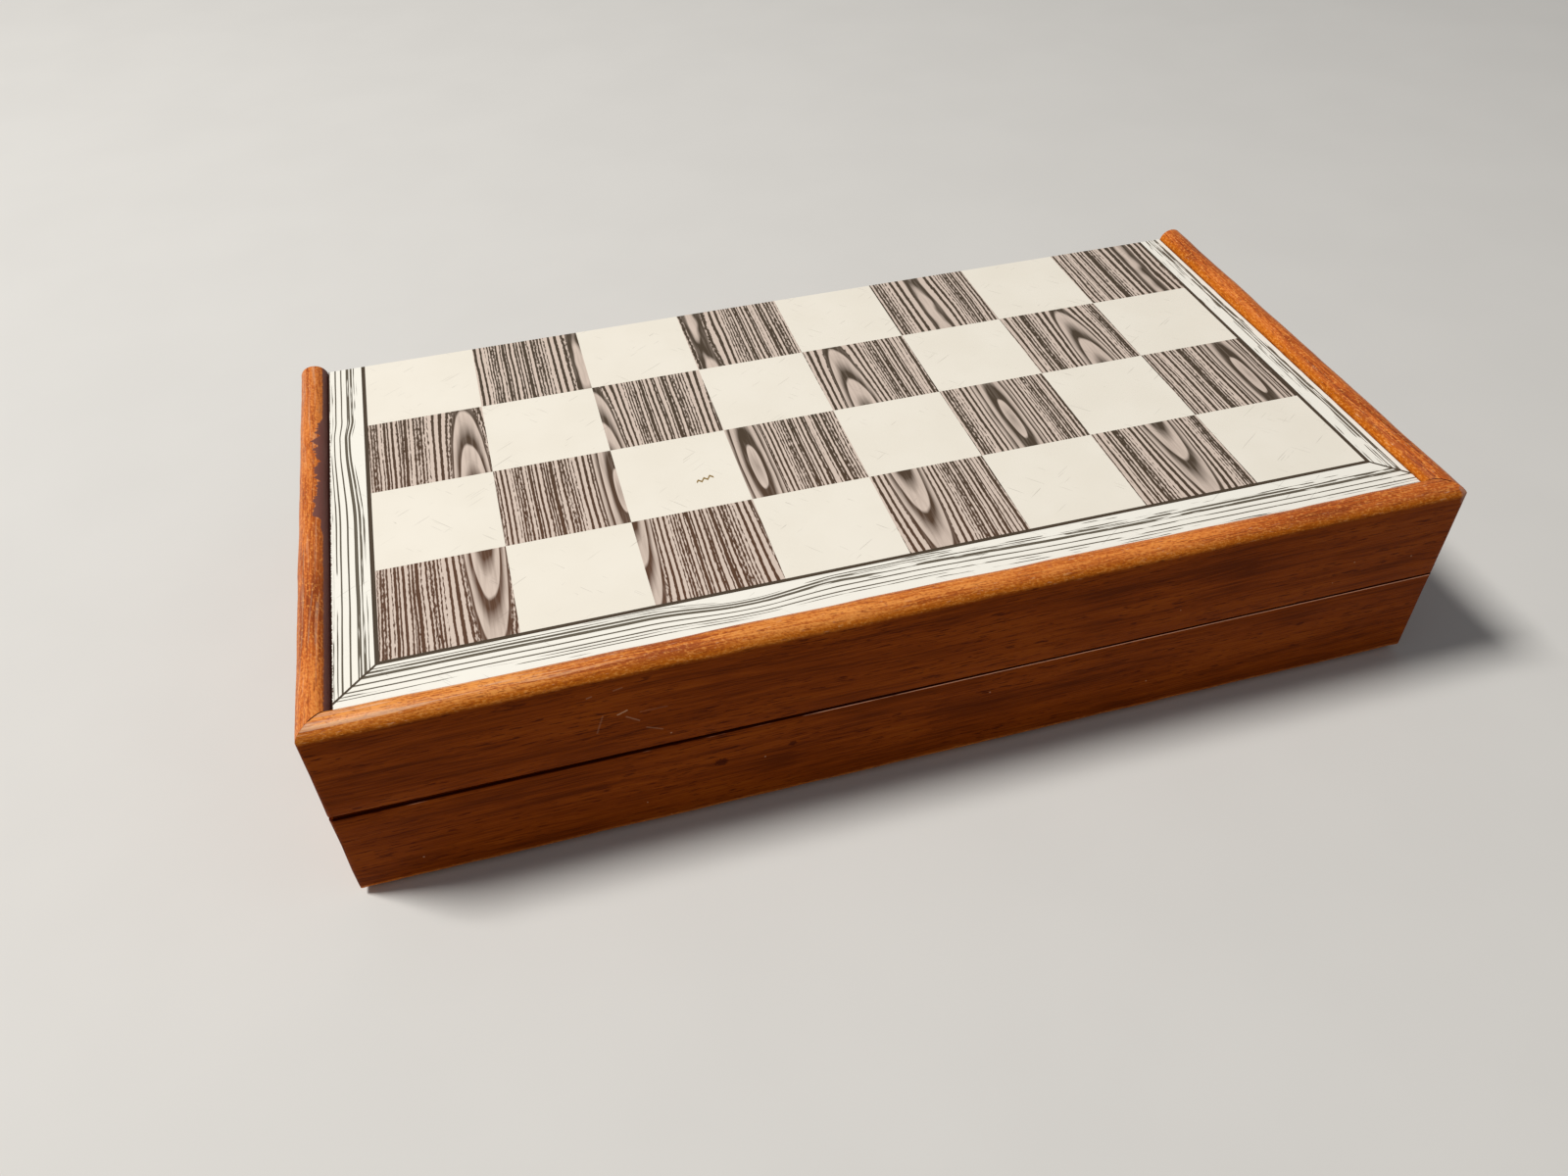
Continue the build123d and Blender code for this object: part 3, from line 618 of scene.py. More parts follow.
def seam_shade_and_wear(recipe, wood, tone):
    """Darkens the rims' outer edges beside the seam with dark varnish and painted shade of the gap, and
    bares the lower rim's arris, most where the lid closes tightly.
    """
    skin, shade_end, bare_start, bare_end = 0.7, (0.30, 0.38), (0.29, 0.34), (0.47, 0.52)
    from_front = recipe.y - FRONT / MM
    outside = from_front.least(-CASE_LEFT / MM - abs(recipe.x)).below(skin)
    closed = recipe.x.step(-60, 20) * from_front.below(skin)
    wear = recipe.noise((*recipe.spot(0.07, 0.07), 3.0), 3.0, 0.6)
    # Painted shade of the seam's gap, over some dark varnish, on both rims' outer edges.
    tone = recipe.mix((1 - recipe.from_seam.step(*shade_end)) * outside, tone, wood.dark_marks_and_gap_shade)
    arris = recipe.from_seam.step(*bare_start) - recipe.from_seam.step(*bare_end)
    bared = arris * recipe.lower * outside * (wear + closed * 0.40).step(0.55, 0.80)
    return recipe.mix(bared, tone, wood.bared)


# Pale nicks in the upper front face: from x, z to x, z in millimetres, and how strong
NICKS = (
    (-72.1, 41.4, -70.0, 42.2, 0.9),
    (-70.3, 40.2, -67.7, 38.1, 0.4),
    (-77.1, 37.0, -75.3, 42.0, 0.2),
    (-66.3, 35.4, -62.9, 33.8, 0.3),
    (-77.9, 48.5, -77.0, 48.7, 0.35),
    (-72.1, 49.1, -70.3, 49.5, 0.25),
    (-67.1, 40.8, -61.3, 40.7, 0.15),
)

# Dark pits in the lower front face: x, z and half width in millimetres
PITS = ((-50.4, 17.6, 1.6), (-33.2, 18.6, 1.0))


def front_marks(recipe, wood, tone):
    """The few pale nicks and dark pits in the front faces."""
    in_front = (recipe.y - FRONT / MM).below(0.6)
    ragged = recipe.noise((recipe.x * 1.3, recipe.z * 1.3), 3.0, 0.8) - 0.5
    nicked, pitted = in_front * 0, in_front * 0
    for x, z, end_x, end_z, strength in NICKS:
        reach = math.hypot(end_x - x, end_z - z)
        right, up = (end_x - x) / reach, (end_z - z) / reach
        along = (recipe.x - x) * right + (recipe.z - z) * up
        aside = abs((recipe.z - z) * right - (recipe.x - x) * up)
        away = aside.most(abs(along - reach / 2) - reach / 2) + ragged * 0.3
        nicked = nicked.most((1 - away.step(0.10, 0.28)) * strength)
    for x, z, width in PITS:
        away = ((recipe.x - x) ** 2 * 0.6 + (recipe.z - z) ** 2) ** 0.5 / width + ragged * 1.6
        pitted = pitted.most(1 - away.step(0.6, 0.9))
    tone = recipe.mix(nicked * in_front * 0.55, tone, wood.worn_and_highlight)
    return recipe.mix(pitted * in_front * 0.8, tone, wood.dark_marks_and_gap_shade)


def flank_stain_and_shade(distance, chipped):
    """Where varnish has gathered and chipped on a rail's inner flank, darkened further with painted shade.
    distance reads how far in a point lies.
    """

    def amount(recipe):
        crest = (FACE_LOW.x - CASE_LEFT) / MM
        ragged = recipe.noise(recipe.spot(0.6), 4.0, 0.8) - 0.5
        depth = distance(recipe) + ragged * 0.7
        if chipped:
            from_back, half_length = 50, 26
            from_middle = abs(recipe.y - (BACK / MM - from_back)) / half_length
            torn = recipe.noise(recipe.y * 0.24, 3.0, 0.6) - 0.5
            depth = depth + (1 - from_middle).step(0.0, 0.35) * (torn * 6 + 1.5).most(0)
        above_ledge = recipe.from_seam.above((BACKING_LOW.z - SEAM) / MM)
        return depth.step(crest - 1.35, crest - 1.2) * above_ledge

    return amount


def two_toned(name, scales, detail, roughness, tones, depth, least_rough=None, **finish):
    """A finish that varies between two tones, and in roughness from least_rough up."""
    recipe = Recipe(name, **finish)
    grit = recipe.noise(recipe.spot(*scales), detail, roughness)
    rough = None if least_rough is None else grit * 0.3 + least_rough
    return recipe.finish(recipe.ramp(grit, (0.3, 0.7), tones), rough, grit, depth)


def fibreboard():
    """Raw pressed board."""
    tones = (0.20, 0.12, 0.06), (0.38, 0.25, 0.14)
    return two_toned("raw_fibreboard", (1.2, 1.2, 6), 4.0, 0.7, tones, 0.08, Roughness=0.85)


def dull_steel():
    """Rolled sheet."""
    tones = (0.36, 0.36, 0.36), (0.56, 0.56, 0.55)
    return two_toned("rolled_steel", (0.1, 4, 4), 3.0, 0.6, tones, 0.01, 0.3, Metallic=1.0)


def nickel():
    """Bright plating with fine handling marks."""
    tones = (0.40, 0.39, 0.38), (0.58, 0.57, 0.55)
    return two_toned("nickel_plate", (2,), 4.0, 0.7, tones, 0.02, 0.30, Metallic=1.0)


def ferrite():
    """Sintered dark grey."""
    tones = (0.045, 0.045, 0.05), (0.12, 0.12, 0.125)
    return two_toned("sintered_ferrite", (5,), 3.0, 0.7, tones, 0.03, Roughness=0.6, Metallic=0.4)


def brass():
    """Pressed brass with a thin brown tarnish."""
    recipe = Recipe("tarnished_brass", Metallic=1.0)
    tarnish = recipe.noise(recipe.spot(0.35), 5.0, 0.65)
    rolled = recipe.noise(recipe.spot(0.4, 9, 9), 2.0, 0.6)
    tones = (0.78, 0.55, 0.22), (0.66, 0.43, 0.15), (0.33, 0.19, 0.07)
    tone = recipe.ramp(tarnish, (0.35, 0.55, 0.72), tones)
    return recipe.finish(tone, tarnish * 0.35 + 0.14, rolled, 0.01)


def shaded(tint, amount):
    """A colour times an amount, no brighter than 1."""
    return [min(1, part * amount) for part in tint]


def flocking(name, tint):
    """Short dense fibres, darker where they lie over."""
    recipe = Recipe(name, Roughness=1.0, Sheen_Weight=0.15, Sheen_Roughness=0.45, Specular_IOR_Level=0.1)
    nap = recipe.noise(recipe.spot(0.12), 3.0, 0.6)
    fibres = recipe.noise(recipe.spot(7), 3.0, 0.8)
    tones = shaded(tint, 0.45), tint, shaded(tint, 1.9)
    tone = recipe.ramp(nap * 0.5 + fibres * 0.5, (0.32, 0.52, 0.70), tones)
    return recipe.finish(tone, None, fibres, 0.18)


def moulded_plastic(name, tint, least_rough):
    """Moulded plastic with faint flow marks."""
    recipe = Recipe(name, Specular_IOR_Level=0.5)
    flow = recipe.noise(recipe.spot(0.25, 0.08, 0.25), 3.0, 0.6)
    grain = recipe.noise(recipe.spot(3), 3.0, 0.6)
    tone = recipe.ramp(flow, (0.3, 0.7), (shaded(tint, 0.86), shaded(tint, 1.08)))
    return recipe.finish(tone, grain * 0.14 + least_rough, grain, 0.015)


# Mesh helpers


def clear_selection():
    """Nothing selected and no mode but object mode."""
    if bpy.context.object and bpy.context.object.mode != "OBJECT":
        bpy.ops.object.mode_set(mode="OBJECT")
    bpy.ops.object.select_all(action="DESELECT")


def activate(piece):
    """Makes one piece the only selected and active one."""
    clear_selection()
    piece.select_set(True)
    bpy.context.view_layer.objects.active = piece


def block(name, low, high):
    """A box between two corners, with its place in its mesh."""
    clear_selection()
    low, high = Vector(low), Vector(high)
    bpy.ops.mesh.primitive_cube_add(size=1, location=(low + high) / 2, scale=high - low)
    piece = bpy.context.object
    piece.name = piece.data.name = name
    bpy.ops.object.transform_apply(location=True, rotation=True, scale=True)
    return piece


@contextmanager
def editing(piece, kind="FACE"):
    """Edit mode on one piece, with its vertices, edges or faces to select."""
    activate(piece)
    bpy.ops.object.mode_set(mode="EDIT")
    bpy.ops.mesh.select_mode(type=kind)
    yield
    bpy.ops.object.mode_set(mode="OBJECT")


def pick(piece, kind, test):
    """In edit mode, selects only those verts, edges or faces that pass the test."""
    mesh = bmesh.from_edit_mesh(piece.data)
    for group in (mesh.verts, mesh.edges, mesh.faces):
        for element in group:
            element.select = False
    chosen = [element for element in getattr(mesh, kind) if test(element)]
    for element in chosen:
        element.select = True
    mesh.select_flush_mode()
    bmesh.update_edit_mesh(piece.data)
    if not chosen:
        raise RuntimeError(f"{piece.name}: nothing to select")


def bisect(place, normal, **cut):
    """In edit mode, cuts the whole mesh at a plane."""
    bpy.ops.mesh.select_all(action="SELECT")
    bpy.ops.mesh.bisect(plane_co=place, plane_no=normal, **cut)


def bevel(radius, segments):
    """In edit mode, rounds the selected edges."""
    bpy.ops.mesh.bevel(offset=radius, segments=segments, profile=0.5, affect="EDGES")


def along_axis(axis, reach=1.0):
    """A vector along an axis."""
    return Vector([reach if number == axis else 0 for number in range(3)])


def edge_middle(edge):
    """Middle of an edge."""
    return (edge.verts[0].co + edge.verts[1].co) / 2


def near(value, target, reach=2e-5):
    """Whether two lengths are the same for picking."""
    return abs(value - target) < reach


def apply_all(piece):
    """Applies every modifier of a piece."""
    activate(piece)
    for modifier in list(piece.modifiers):
        bpy.ops.object.modifier_apply(modifier=modifier.name)


def cut_away(piece, tool, operation="DIFFERENCE"):
    """Cuts a piece with a tool, and deletes the tool."""
    boolean = piece.modifiers.new("cut", "BOOLEAN")
    boolean.operation = operation
    boolean.solver = "MANIFOLD"
    boolean.object = tool
    apply_all(piece)
    bpy.data.objects.remove(tool)


def copy_of(piece, name, move):
    """A copy with its own mesh, taken through a matrix, its faces kept outward."""
    twin = piece.copy()
    twin.data = piece.data.copy()
    twin.name = twin.data.name = name
    bpy.context.scene.collection.objects.link(twin)
    twin.data.transform(move)
    if move.determinant() < 0:
        twin.data.flip_normals()
    return twin


def smooth_shade(piece, angle=32):
    """Smooth shading with sharp edges kept."""
    activate(piece)
    bpy.ops.object.shade_smooth_by_angle(angle=math.radians(angle))


def dress(piece, material):
    """One material all over a piece."""
    piece.data.materials.clear()
    piece.data.materials.append(material)


def dress_node(node, material):
    """A better material on a node of the frame."""
    for place in NODES[node].material_slots:
        place.material = material


# Rails


def sanded(place):
    """Weight of the waves: none at the rim, the ledge and the back, full on the outside and the crest."""
    skin = 2 * MM
    height = abs(place.z - SEAM)
    from_rim = min(1, max(0, (height - 1 * MM) / (3 * MM)))
    from_back = min(1, max(0, (BACK - place.y) / (2 * MM)))
    outside = place.y < FRONT + skin or abs(place.x) > -CASE_LEFT - skin
    return from_rim * from_back if outside or height > FACE_HIGH.z - SEAM else 0


def wave(piece, wood):
    """Lets the outside of a rail wave a little, as sanding by hand leaves it."""
    group = piece.vertex_groups.new(name="sanded")
    for vertex in piece.data.vertices:
        weight = sanded(vertex.co)
        if weight > 0:
            group.add([vertex.index], weight, "REPLACE")
    clouds = bpy.data.textures.new(piece.name + "_waves", "CLOUDS")
    clouds.noise_scale = wood.wave_size
    clouds.noise_depth = 2
    displace = piece.modifiers.new("waves", "DISPLACE")
    displace.texture = clouds
    displace.texture_coords = "LOCAL"
    displace.strength = wood.waviness * 2
    displace.mid_level = 0.7
    displace.vertex_group = group.name
    apply_all(piece)


def cut_across(piece, axis, low, high, spacing):
    """Cuts a mesh across an axis at even steps between low and high."""
    count = max(1, round((high - low) / spacing))
    with editing(piece):
        for step in range(1, count):
            bisect(along_axis(axis, low + (high - low) * step / count), along_axis(axis))


def is_long(edge, axis):
    """Whether an edge runs along an axis."""
    run = edge.verts[1].co - edge.verts[0].co
    return abs(run[axis]) > 0.9 * run.length and run.length > 0.01


def rail_blank(name, wood, axis, high):
    """A front or left rail along an axis, rebated for the board and rounded, before its ends are cut."""
    depth = 1 - axis
    low = Vector((CASE_LEFT, FRONT, RAIL_LOW.z))
    outer, ledge, crest = low[depth], BACKING_LOW.z, high[2]
    shoulder = outer + FACE_LOW.x - CASE_LEFT - wood.crest_gap

    def on_ledge(face):
        return face.normal.z > 0.9 and face.calc_center_median()[depth] < shoulder

    def at_crest(edge):
        return is_long(edge, axis) and near(edge_middle(edge).z, crest)

    def at_rim(edge):
        middle = edge_middle(edge)
        return is_long(edge, axis) and near(middle.z, low.z) and near(middle[depth], outer)

    piece = block(name, low, (high[0], high[1], ledge))
    with editing(piece):
        bisect(along_axis(depth, shoulder), along_axis(depth))
        pick(piece, "faces", on_ledge)
        bpy.ops.mesh.extrude_region_move(TRANSFORM_OT_translate={"value": (0, 0, crest - ledge)})
    with editing(piece, "EDGE"):
        pick(piece, "edges", at_crest)
        bevel(wood.crest_radius, 9)
        pick(piece, "edges", at_rim)
        bevel(wood.rim_arris, 3)
    return piece


def plane_rim(piece, wood, end, axis):
    """Tips an upper rail's rim up towards the front left corner, from an end where it still touches."""
    angle = math.atan(wood.gape / (end[axis] - (CASE_LEFT, FRONT)[axis]))
    turn, about = ((-angle, "Y"), (angle, "X"))[axis]
    rim_top = RAIL_LOW.z + 1.5 * wood.rim_arris
    with editing(piece, "VERT"):
        pick(piece, "verts", lambda vertex: vertex.co.z < rim_top and vertex.co[axis] < end[axis])
        bpy.ops.transform.rotate(value=turn, orient_axis=about, orient_type="GLOBAL", center_override=end)


def trim(piece, place, outward):
    """Cuts a piece off square at a plane, and closes it."""
    with editing(piece):
        bisect(place, outward, use_fill=True, clear_outer=True)


def case_prism(wood):
    """The case's plan as a prism, its front corners rounded, to round the rails' corners with."""
    spare = 10 * MM
    low = (CASE_LEFT, FRONT, RAIL_LOW.z - spare)
    piece = block("case_prism", low, (-CASE_LEFT, BACK + spare, RAIL_HIGH.z + spare))
    with editing(piece, "EDGE"):
        pick(piece, "edges", lambda edge: is_long(edge, 2) and near(edge_middle(edge).y, FRONT))
        bevel(wood.corner_radius, 6)
    return piece


def cut_finely(piece, wood, axis, low, high):
    """Cuts a rail along its length and its height, finely enough to wave."""
    cut_across(piece, axis, low, high, wood.cut_spacing)
    cut_across(piece, 2, RAIL_LOW.z, RAIL_HIGH.z - wood.crest_radius, 2 * wood.cut_spacing)


def front_rail(wood):
    """The upper front rail, mitred at both ends, with its magnet pockets."""
    piece = rail_blank("upper_front_rail_wood", wood, 0, (-CASE_LEFT, RAIL_HIGH.y, RAIL_HIGH.z))
    trim(piece, (CASE_LEFT, FRONT, 0), (-1, 1, 0))
    trim(piece, (-CASE_LEFT, FRONT, 0), (1, 1, 0))
    cut_away(piece, case_prism(wood), "INTERSECT")
    magnet_low, magnet_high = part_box("upper_catch_magnets")
    radius = (magnet_high.y - magnet_low.y) / 2
    for x in (magnet_low.x + radius, magnet_high.x - radius):
        clear_selection()
        bpy.ops.mesh.primitive_cylinder_add(
            vertices=48,
            radius=radius + wood.magnet_gap,
            depth=2 * (magnet_high.z - magnet_low.z),
            location=(x, magnet_low.y + radius, magnet_low.z),
        )
        cut_away(piece, bpy.context.object)
    cut_finely(piece, wood, 0, CASE_LEFT, -CASE_LEFT)
    return piece


def left_rail(wood):
    """The upper left rail, mitred at the front and square at the back."""
    piece = rail_blank("upper_left_rail_wood", wood, 1, (END_HIGH.x, BACK, RAIL_HIGH.z))
    trim(piece, (CASE_LEFT, FRONT, 0), (1, -1, 0))
    cut_away(piece, case_prism(wood), "INTERSECT")
    cut_finely(piece, wood, 1, FRONT, BACK)
    return piece


class CHESS_OT_rails(bpy.types.Operator):
    """Models the varnished rails of both halves"""

    bl_idname = "chess_set.rails"
    bl_label = "Rails"

    def execute(self, context):
        wood = context.scene.chess_wood
        front = front_rail(wood)
        left = left_rail(wood)
        mirror = Matrix.Scale(-1, 4, Vector((1, 0, 0)))
        over = turned_over()
        right = copy_of(left, "upper_right_rail_wood", mirror)
        rails = {
            "upper_front_rail": front,
            "upper_left_rail": left,
            "upper_right_rail": right,
            "lower_front_rail": copy_of(front, "lower_front_rail_wood", over),
            "lower_right_rail": copy_of(left, "lower_right_rail_wood", over),
            "lower_left_rail": copy_of(right, "lower_left_rail_wood", over),
        }
        # The right rail's inner flank faces the light and gets no painted shade.
        left_depth = flank_stain_and_shade(lambda recipe: recipe.x - CASE_LEFT / MM, True)
        front_depth = flank_stain_and_shade(lambda recipe: recipe.y - FRONT / MM, False)
        finishes = {
            "front": varnished_wood(wood, "front_rail_varnish", "X", front_depth, redder_to_the_right),
            "left": varnished_wood(wood, "left_rail_varnish", "Y", left_depth, 0.85),
            "right": varnished_wood(wood, "right_rail_varnish", "Y", None, 1.0),
        }
        plane_rim(front, wood, (wood.gape_end, FRONT, RAIL_LOW.z), 0)
        plane_rim(left, wood, (CASE_LEFT, BACK, RAIL_LOW.z), 1)
        for node, rail in rails.items():
            half = UPPER if node.startswith("upper") else LOWER
            wave(rail, wood)
            smooth_shade(rail)
            dress(rail, finishes[node.split("_")[1]])
            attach(rail, BODIES[half])
            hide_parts(node)
        inside = varnished_wood(wood, "hinge_rail_varnish", "X")
        for word in HALVES.values():
            dress_node(word + "_hinge_rail", inside)
        return {"FINISHED"}


class CHESS_OT_board(bpy.types.Operator):
    """Finishes the board's faces, steel sheets and backings"""

    bl_idname = "chess_set.board"
    bl_label = "Board"

    def execute(self, context):
        board = context.scene.chess_board
        steel = dull_steel()
        backing = fibreboard()
        for half, word in HALVES.items():
            dress_node(word + "_playing_face", printed_laminate(board, half))
            dress_node(word + "_steel_sheet", steel)
            dress_node(word + "_board_backing", backing)
        return {"FINISHED"}


class CHESS_OT_metalwork(bpy.types.Operator):
    """Finishes the hinges, their screws and pins, and the catch magnets"""

    bl_idname = "chess_set.metalwork"
    bl_label = "Hinges and catches"

    def execute(self, context):
        leaf = brass()
        plate = nickel()
        dress_node("hinge_pins", dull_steel())
        for word in HALVES.values():
            dress_node(word + "_hinge_leaves", leaf)
            dress_node(word + "_hinge_screws", leaf)
            dress_node(word + "_catch_magnets", plate)
        return {"FINISHED"}


# Each kind of man: the columns that it lies in, how wide its head is beside its foot, and its row
MEN = {
    "rooks": ((0, 7), 0.70, 1),
    "knights": ((1, 6), 0.92, 1),
    "bishops": ((2, 5), 0.52, 1),
    "queen": ((3,), 0.60, 1),
    "king": ((4,), 0.58, 1),
    "pawns": (range(8), 0.62, -1),
}

# How thick a felt is, how long a foot, how far a pocket's room reaches and its cuts overlap, in metres
FELT = 0.8 * MM
FOOT = 5.0 * MM
POCKET_RISE = 16 * MM
OVERLAP = 0.2 * MM


class CHESS_OT_men(bpy.types.Operator):
    """Finishes the men and the magnets in their feet"""

    bl_idname = "chess_set.men"
    bl_label = "Men"

    def execute(self, context):
        men = context.scene.chess_men
        plastics = {
            "white": moulded_plastic("cream_plastic", men.white, 0.24),
            "black": moulded_plastic("black_plastic", men.black, 0.20),
        }
        dark = ferrite()
        for name, plastic in plastics.items():
            for kind in MEN:
                dress_node(f"{name}_{kind}", plastic)
            dress_node(name + "_magnets", dark)
        return {"FINISHED"}


def lying_men(half):
    """A half's men, one by one: the box of its kind, its head's share, its row and its x."""
    low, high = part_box(HALVES[half] + "_foam_insert")
    pitch = (high.x - low.x) / 8
    for kind, (columns, head_share, row) in MEN.items():
        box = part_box(f"{COLOURS[half]}_{kind}")
        for column in columns:
            yield box, head_share, row, (column - 3.5) * pitch * half


def pocket_tools(settings, half):
    """The shapes that cut the pockets of one insert, one after another."""
    gap = settings.pocket_gap
    for (low, high), head_share, row, x in lying_men(half):
        radius = (high.z - low.z) / 2
        height = (low.z + high.z) / 2
        feet = (high.y + FELT if row > 0 else low.y - FELT) + row * gap
        heads = (low.y if row > 0 else high.y) - row * gap
        foot_end = feet - row * (FOOT + 2 * gap)
        neck = (foot_end + heads) / 2
        wide, narrow = radius + gap, radius * head_share + gap
        cuts = (feet, foot_end, wide, wide), (foot_end, neck, wide, narrow), (neck, heads, narrow, narrow)
        for start, end, first, last in cuts:
            if start > end:
                ends = (end - OVERLAP, start, last, first)
            else:
                ends = (start, end + OVERLAP, first, last)
            yield lathed("pocket", ends, height, x)
            yield room_above("pocket_room", ends, height, x, half)


def lathed(name, ends, height, x):
    """A round tool along Y, for cutting pockets. ends are its two places and its two radii."""
    low, high, radius_low, radius_high = ends
    clear_selection()
    bpy.ops.mesh.primitive_cone_add(
        vertices=40,
        radius1=radius_low,
        radius2=radius_high,
        depth=high - low,
        location=(x, (low + high) / 2, height),
        rotation=(-math.pi / 2, 0, 0),
    )
    piece = bpy.context.object
    piece.name = name
    bpy.ops.object.transform_apply(location=True, rotation=True, scale=True)
    return piece


def room_above(name, ends, height, x, half):
    """The straight-sided room that a lying man comes out through, as wide as a round tool there."""
    low, high, radius_low, radius_high = ends
    bottom, top = sorted((height, height - half * POCKET_RISE))
    piece = block(name, (x - radius_low, low, bottom), (x + radius_low, high, top))
    with editing(piece):
        pick(piece, "faces", lambda face: face.normal.y > 0.9)
        taper = radius_high / radius_low
        bpy.ops.transform.resize(value=(taper, 1, 1), center_override=(x, high, height))
    return piece


def joined(name, pieces):
    """One object out of several."""
    clear_selection()
    for piece in pieces:
        piece.select_set(True)
    bpy.context.view_layer.objects.active = pieces[0]
    bpy.ops.object.join()
    piece = bpy.context.object
    piece.name = piece.data.name = name
    return piece


class CHESS_OT_inserts(bpy.types.Operator):
    """Models the flocked foam inserts with a pocket for every man and a finger trough"""

    bl_idname = "chess_set.inserts"
    bl_label = "Inserts"

    def execute(self, context):
        settings = context.scene.chess_inserts
        flock = flocking("green_flock", settings.flock)
        for half, word in HALVES.items():
            low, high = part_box(word + "_foam_insert")
            piece = block(word + "_flocked_insert", low, high)
            for tool in pocket_tools(settings, half):
                cut_away(piece, tool)
            cut_away(piece, self.trough(half, low, high))
            remesh = piece.modifiers.new("cells", "REMESH")
            remesh.mode = "VOXEL"
            remesh.voxel_size = settings.voxel
            soften = piece.modifiers.new("soften", "SMOOTH")
            soften.factor = 0.5
            soften.iterations = 3
            apply_all(piece)
            smooth_shade(piece, 60)
            dress(piece, flock)
            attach(piece, BODIES[half])
            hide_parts(word + "_foam_insert")
        return {"FINISHED"}

    def trough(self, half, low, high):
        """The room for fingertips between the two rows."""
        reach_back, reach_front, end_wall, corner = 8 * MM, 5 * MM, 6 * MM, 5 * MM
        floor, over = 4 * MM, 2 * MM
        near_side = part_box(COLOURS[half] + "_pawns")[1].y - reach_front
        far_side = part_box(COLOURS[half] + "_king")[0].y + reach_back
        bottom, top = (low.z - over, high.z - floor) if half == UPPER else (low.z + floor, high.z + over)
        tool = block("trough", (low.x + end_wall, near_side, bottom), (high.x - end_wall, far_side, top))
        with editing(tool, "EDGE"):
            pick(tool, "edges", lambda edge: is_long(edge, 2))
            bevel(corner, 6)
        return tool


class CHESS_OT_felts(bpy.types.Operator):
    """Models the felt disc under every man"""

    bl_idname = "chess_set.felts"
    bl_label = "Felts"

    def execute(self, context):
        settings = context.scene.chess_inserts
        felt = flocking("green_felt_cloth", settings.felt)
        for half, colour_word in COLOURS.items():
            discs = []
            for (low, high), _, row, x in lying_men(half):
                radius = (high.z - low.z) / 2 - settings.felt_inset
                y = (high.y if row > 0 else low.y) + row * FELT / 2
                discs.append(self.disc(radius, x, y, (low.z + high.z) / 2))
            piece = joined(colour_word + "_felt_discs", discs)
            smooth_shade(piece, 40)
            dress(piece, felt)
            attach(piece, BODIES[half])
            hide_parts(colour_word + "_felts")
        return {"FINISHED"}

    def disc(self, radius, x, y, z):
        """One felt, its edge softened."""
        soft_band, soft_edge = 0.9 * MM, 0.25 * MM

        def at_edge(edge):
            middle = edge_middle(edge)
            reaches = [math.hypot(vertex.co.x - x, vertex.co.z - z) for vertex in edge.verts]
            return near(abs(middle.y - y), FELT / 2) and min(reaches) > radius * 0.99

        clear_selection()
        bpy.ops.mesh.primitive_cylinder_add(
            vertices=48, radius=radius, depth=FELT, location=(x, y, z), rotation=(math.pi / 2, 0, 0)
        )
        piece = bpy.context.object
        bpy.ops.object.transform_apply(location=True, rotation=True, scale=True)
        with editing(piece):
            pick(piece, "faces", lambda face: abs(face.normal.y) > 0.9)
            bpy.ops.mesh.inset(thickness=soft_band)
        with editing(piece, "EDGE"):
            pick(piece, "edges", at_edge)
            bevel(soft_edge, 2)
        return piece


# The lights, each with its place and side in metres and its tint, then the room's tint
KEY_LIGHT = (-0.95, 0.26, 1.75), 0.45, (1.0, 0.985, 0.95)
FILL_LIGHT = (0.9, -0.7, 0.7), 1.0, (0.93, 0.96, 1.0)
ROOM_TINT = (0.96, 0.97, 1.0)

# The floor's side in metres, the camera's sensor in millimetres and its nearest clip in metres
FLOOR_SIDE = 8
SENSOR_WIDTH = 36
CLIP_START = 0.01


def area_light(name, watts, place, side, tint):
    """A soft square light that faces the middle of the floor."""
    lamp = bpy.data.lights.new(name, "AREA")
    lamp.shape = "RECTANGLE"
    lamp.size = lamp.size_y = side
    lamp.energy = watts
    lamp.color = tint
    holder = bpy.data.objects.new(name, lamp)
    bpy.context.scene.collection.objects.link(holder)
    holder.location = place
    holder.rotation_euler = (-Vector(place)).to_track_quat("-Z", "Y").to_euler()


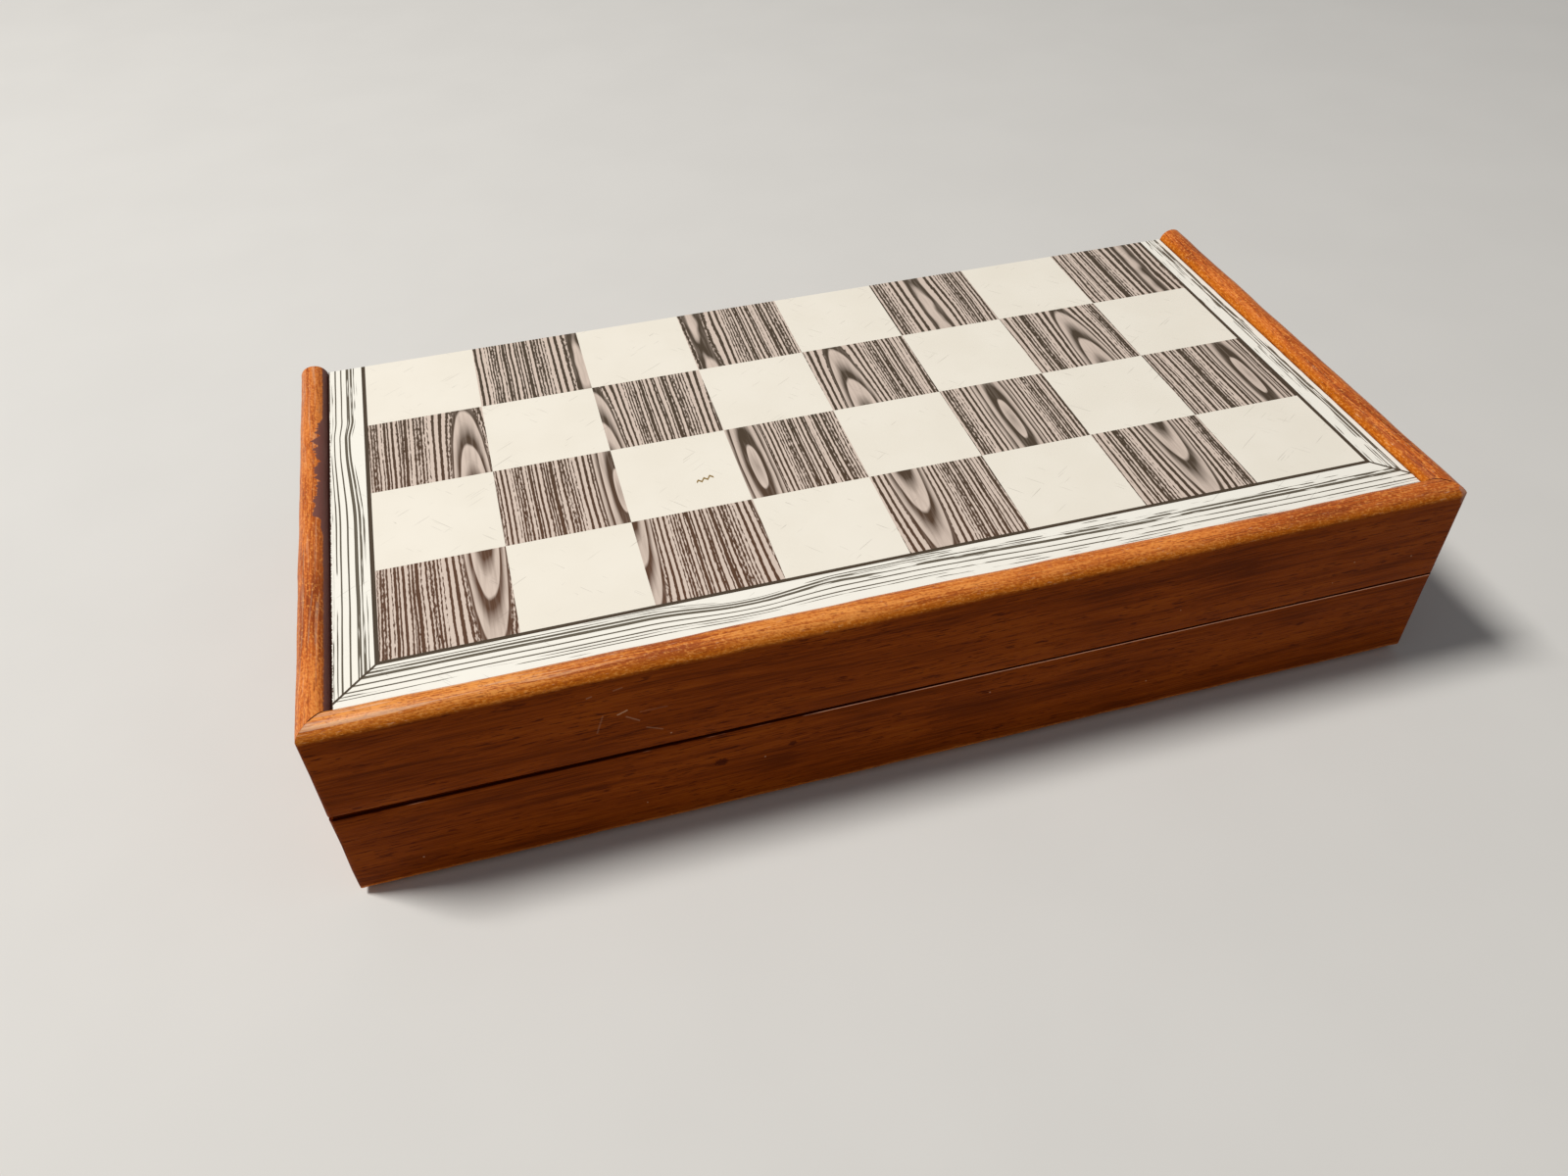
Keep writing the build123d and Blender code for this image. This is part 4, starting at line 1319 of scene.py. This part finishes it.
class CHESS_OT_stage(bpy.types.Operator):
    """Sets up the floor, the lights and the camera"""

    bl_idname = "chess_set.stage"
    bl_label = "Stage"

    def execute(self, context):
        stage = context.scene.chess_stage
        clear_selection()
        bpy.ops.mesh.primitive_grid_add(x_subdivisions=8, y_subdivisions=8, size=FLOOR_SIDE)
        floor = context.object
        floor.name = "floor"
        recipe = Recipe("pale_floor", Roughness=0.75, Specular_IOR_Level=0.25)
        paper = recipe.noise(recipe.spot(0.02, 0.02), 3.0)
        tone = recipe.mix(paper.step(0.3, 0.7), stage.floor, shaded(stage.floor, 0.98))
        dress(floor, recipe.finish(tone))
        floor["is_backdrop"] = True
        area_light("key", stage.key_power, *KEY_LIGHT)
        area_light("fill", stage.fill_power, *FILL_LIGHT)
        world = bpy.data.worlds.new("room")
        context.scene.world = world
        world.use_nodes = True
        background = world.node_tree.nodes["Background"]
        background.inputs["Color"].default_value = (*ROOM_TINT, 1)
        background.inputs["Strength"].default_value = stage.sky
        context.scene.view_settings.view_transform = "Standard"
        camera = bpy.data.cameras.new("camera")
        camera.sensor_width = SENSOR_WIDTH
        camera.lens = stage.lens
        camera.clip_start = CLIP_START
        holder = bpy.data.objects.new("camera", camera)
        context.scene.collection.objects.link(holder)
        holder.location = stage.place
        holder.rotation_euler = Euler(stage.turn)
        context.scene.camera = holder
        return {"FINISHED"}


OPERATORS = (
    CHESS_OT_rails,
    CHESS_OT_board,
    CHESS_OT_metalwork,
    CHESS_OT_men,
    CHESS_OT_inserts,
    CHESS_OT_felts,
    CHESS_OT_stage,
)

SETTINGS = {
    "chess_board": BoardSettings,
    "chess_wood": WoodSettings,
    "chess_inserts": InsertSettings,
    "chess_men": MenSettings,
    "chess_stage": StageSettings,
}


class CHESS_PT_panel(bpy.types.Panel):
    """Lists the pieces and their settings"""

    bl_idname = "CHESS_PT_panel"
    bl_label = "Chess Set"
    bl_space_type = "VIEW_3D"
    bl_region_type = "UI"
    bl_category = "Chess Set"

    def draw(self, context):
        for operator in OPERATORS:
            self.layout.operator(operator.bl_idname)
        for name, group in SETTINGS.items():
            box = self.layout.box()
            for prop in group.__annotations__:
                box.prop(getattr(context.scene, name), prop)


def register():
    for group in SETTINGS.values():
        bpy.utils.register_class(group)
    for name, group in SETTINGS.items():
        setattr(bpy.types.Scene, name, PointerProperty(type=group))
    for operator in OPERATORS:
        bpy.utils.register_class(operator)
    bpy.utils.register_class(CHESS_PT_panel)


def unregister():
    bpy.utils.unregister_class(CHESS_PT_panel)
    for operator in reversed(OPERATORS):
        bpy.utils.unregister_class(operator)
    for name in SETTINGS:
        delattr(bpy.types.Scene, name)
    for group in reversed(SETTINGS.values()):
        bpy.utils.unregister_class(group)


def main():
    register()
    for operator in OPERATORS:
        group, name = operator.bl_idname.split(".")
        getattr(getattr(bpy.ops, group), name)()
    bpy.context.view_layer.update()
    boxes = {"cad": cad_box, "visual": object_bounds()}
    {name: [list(corner) for corner in box] for name, box in boxes.items()}


if __name__ == "__main__":
    main()
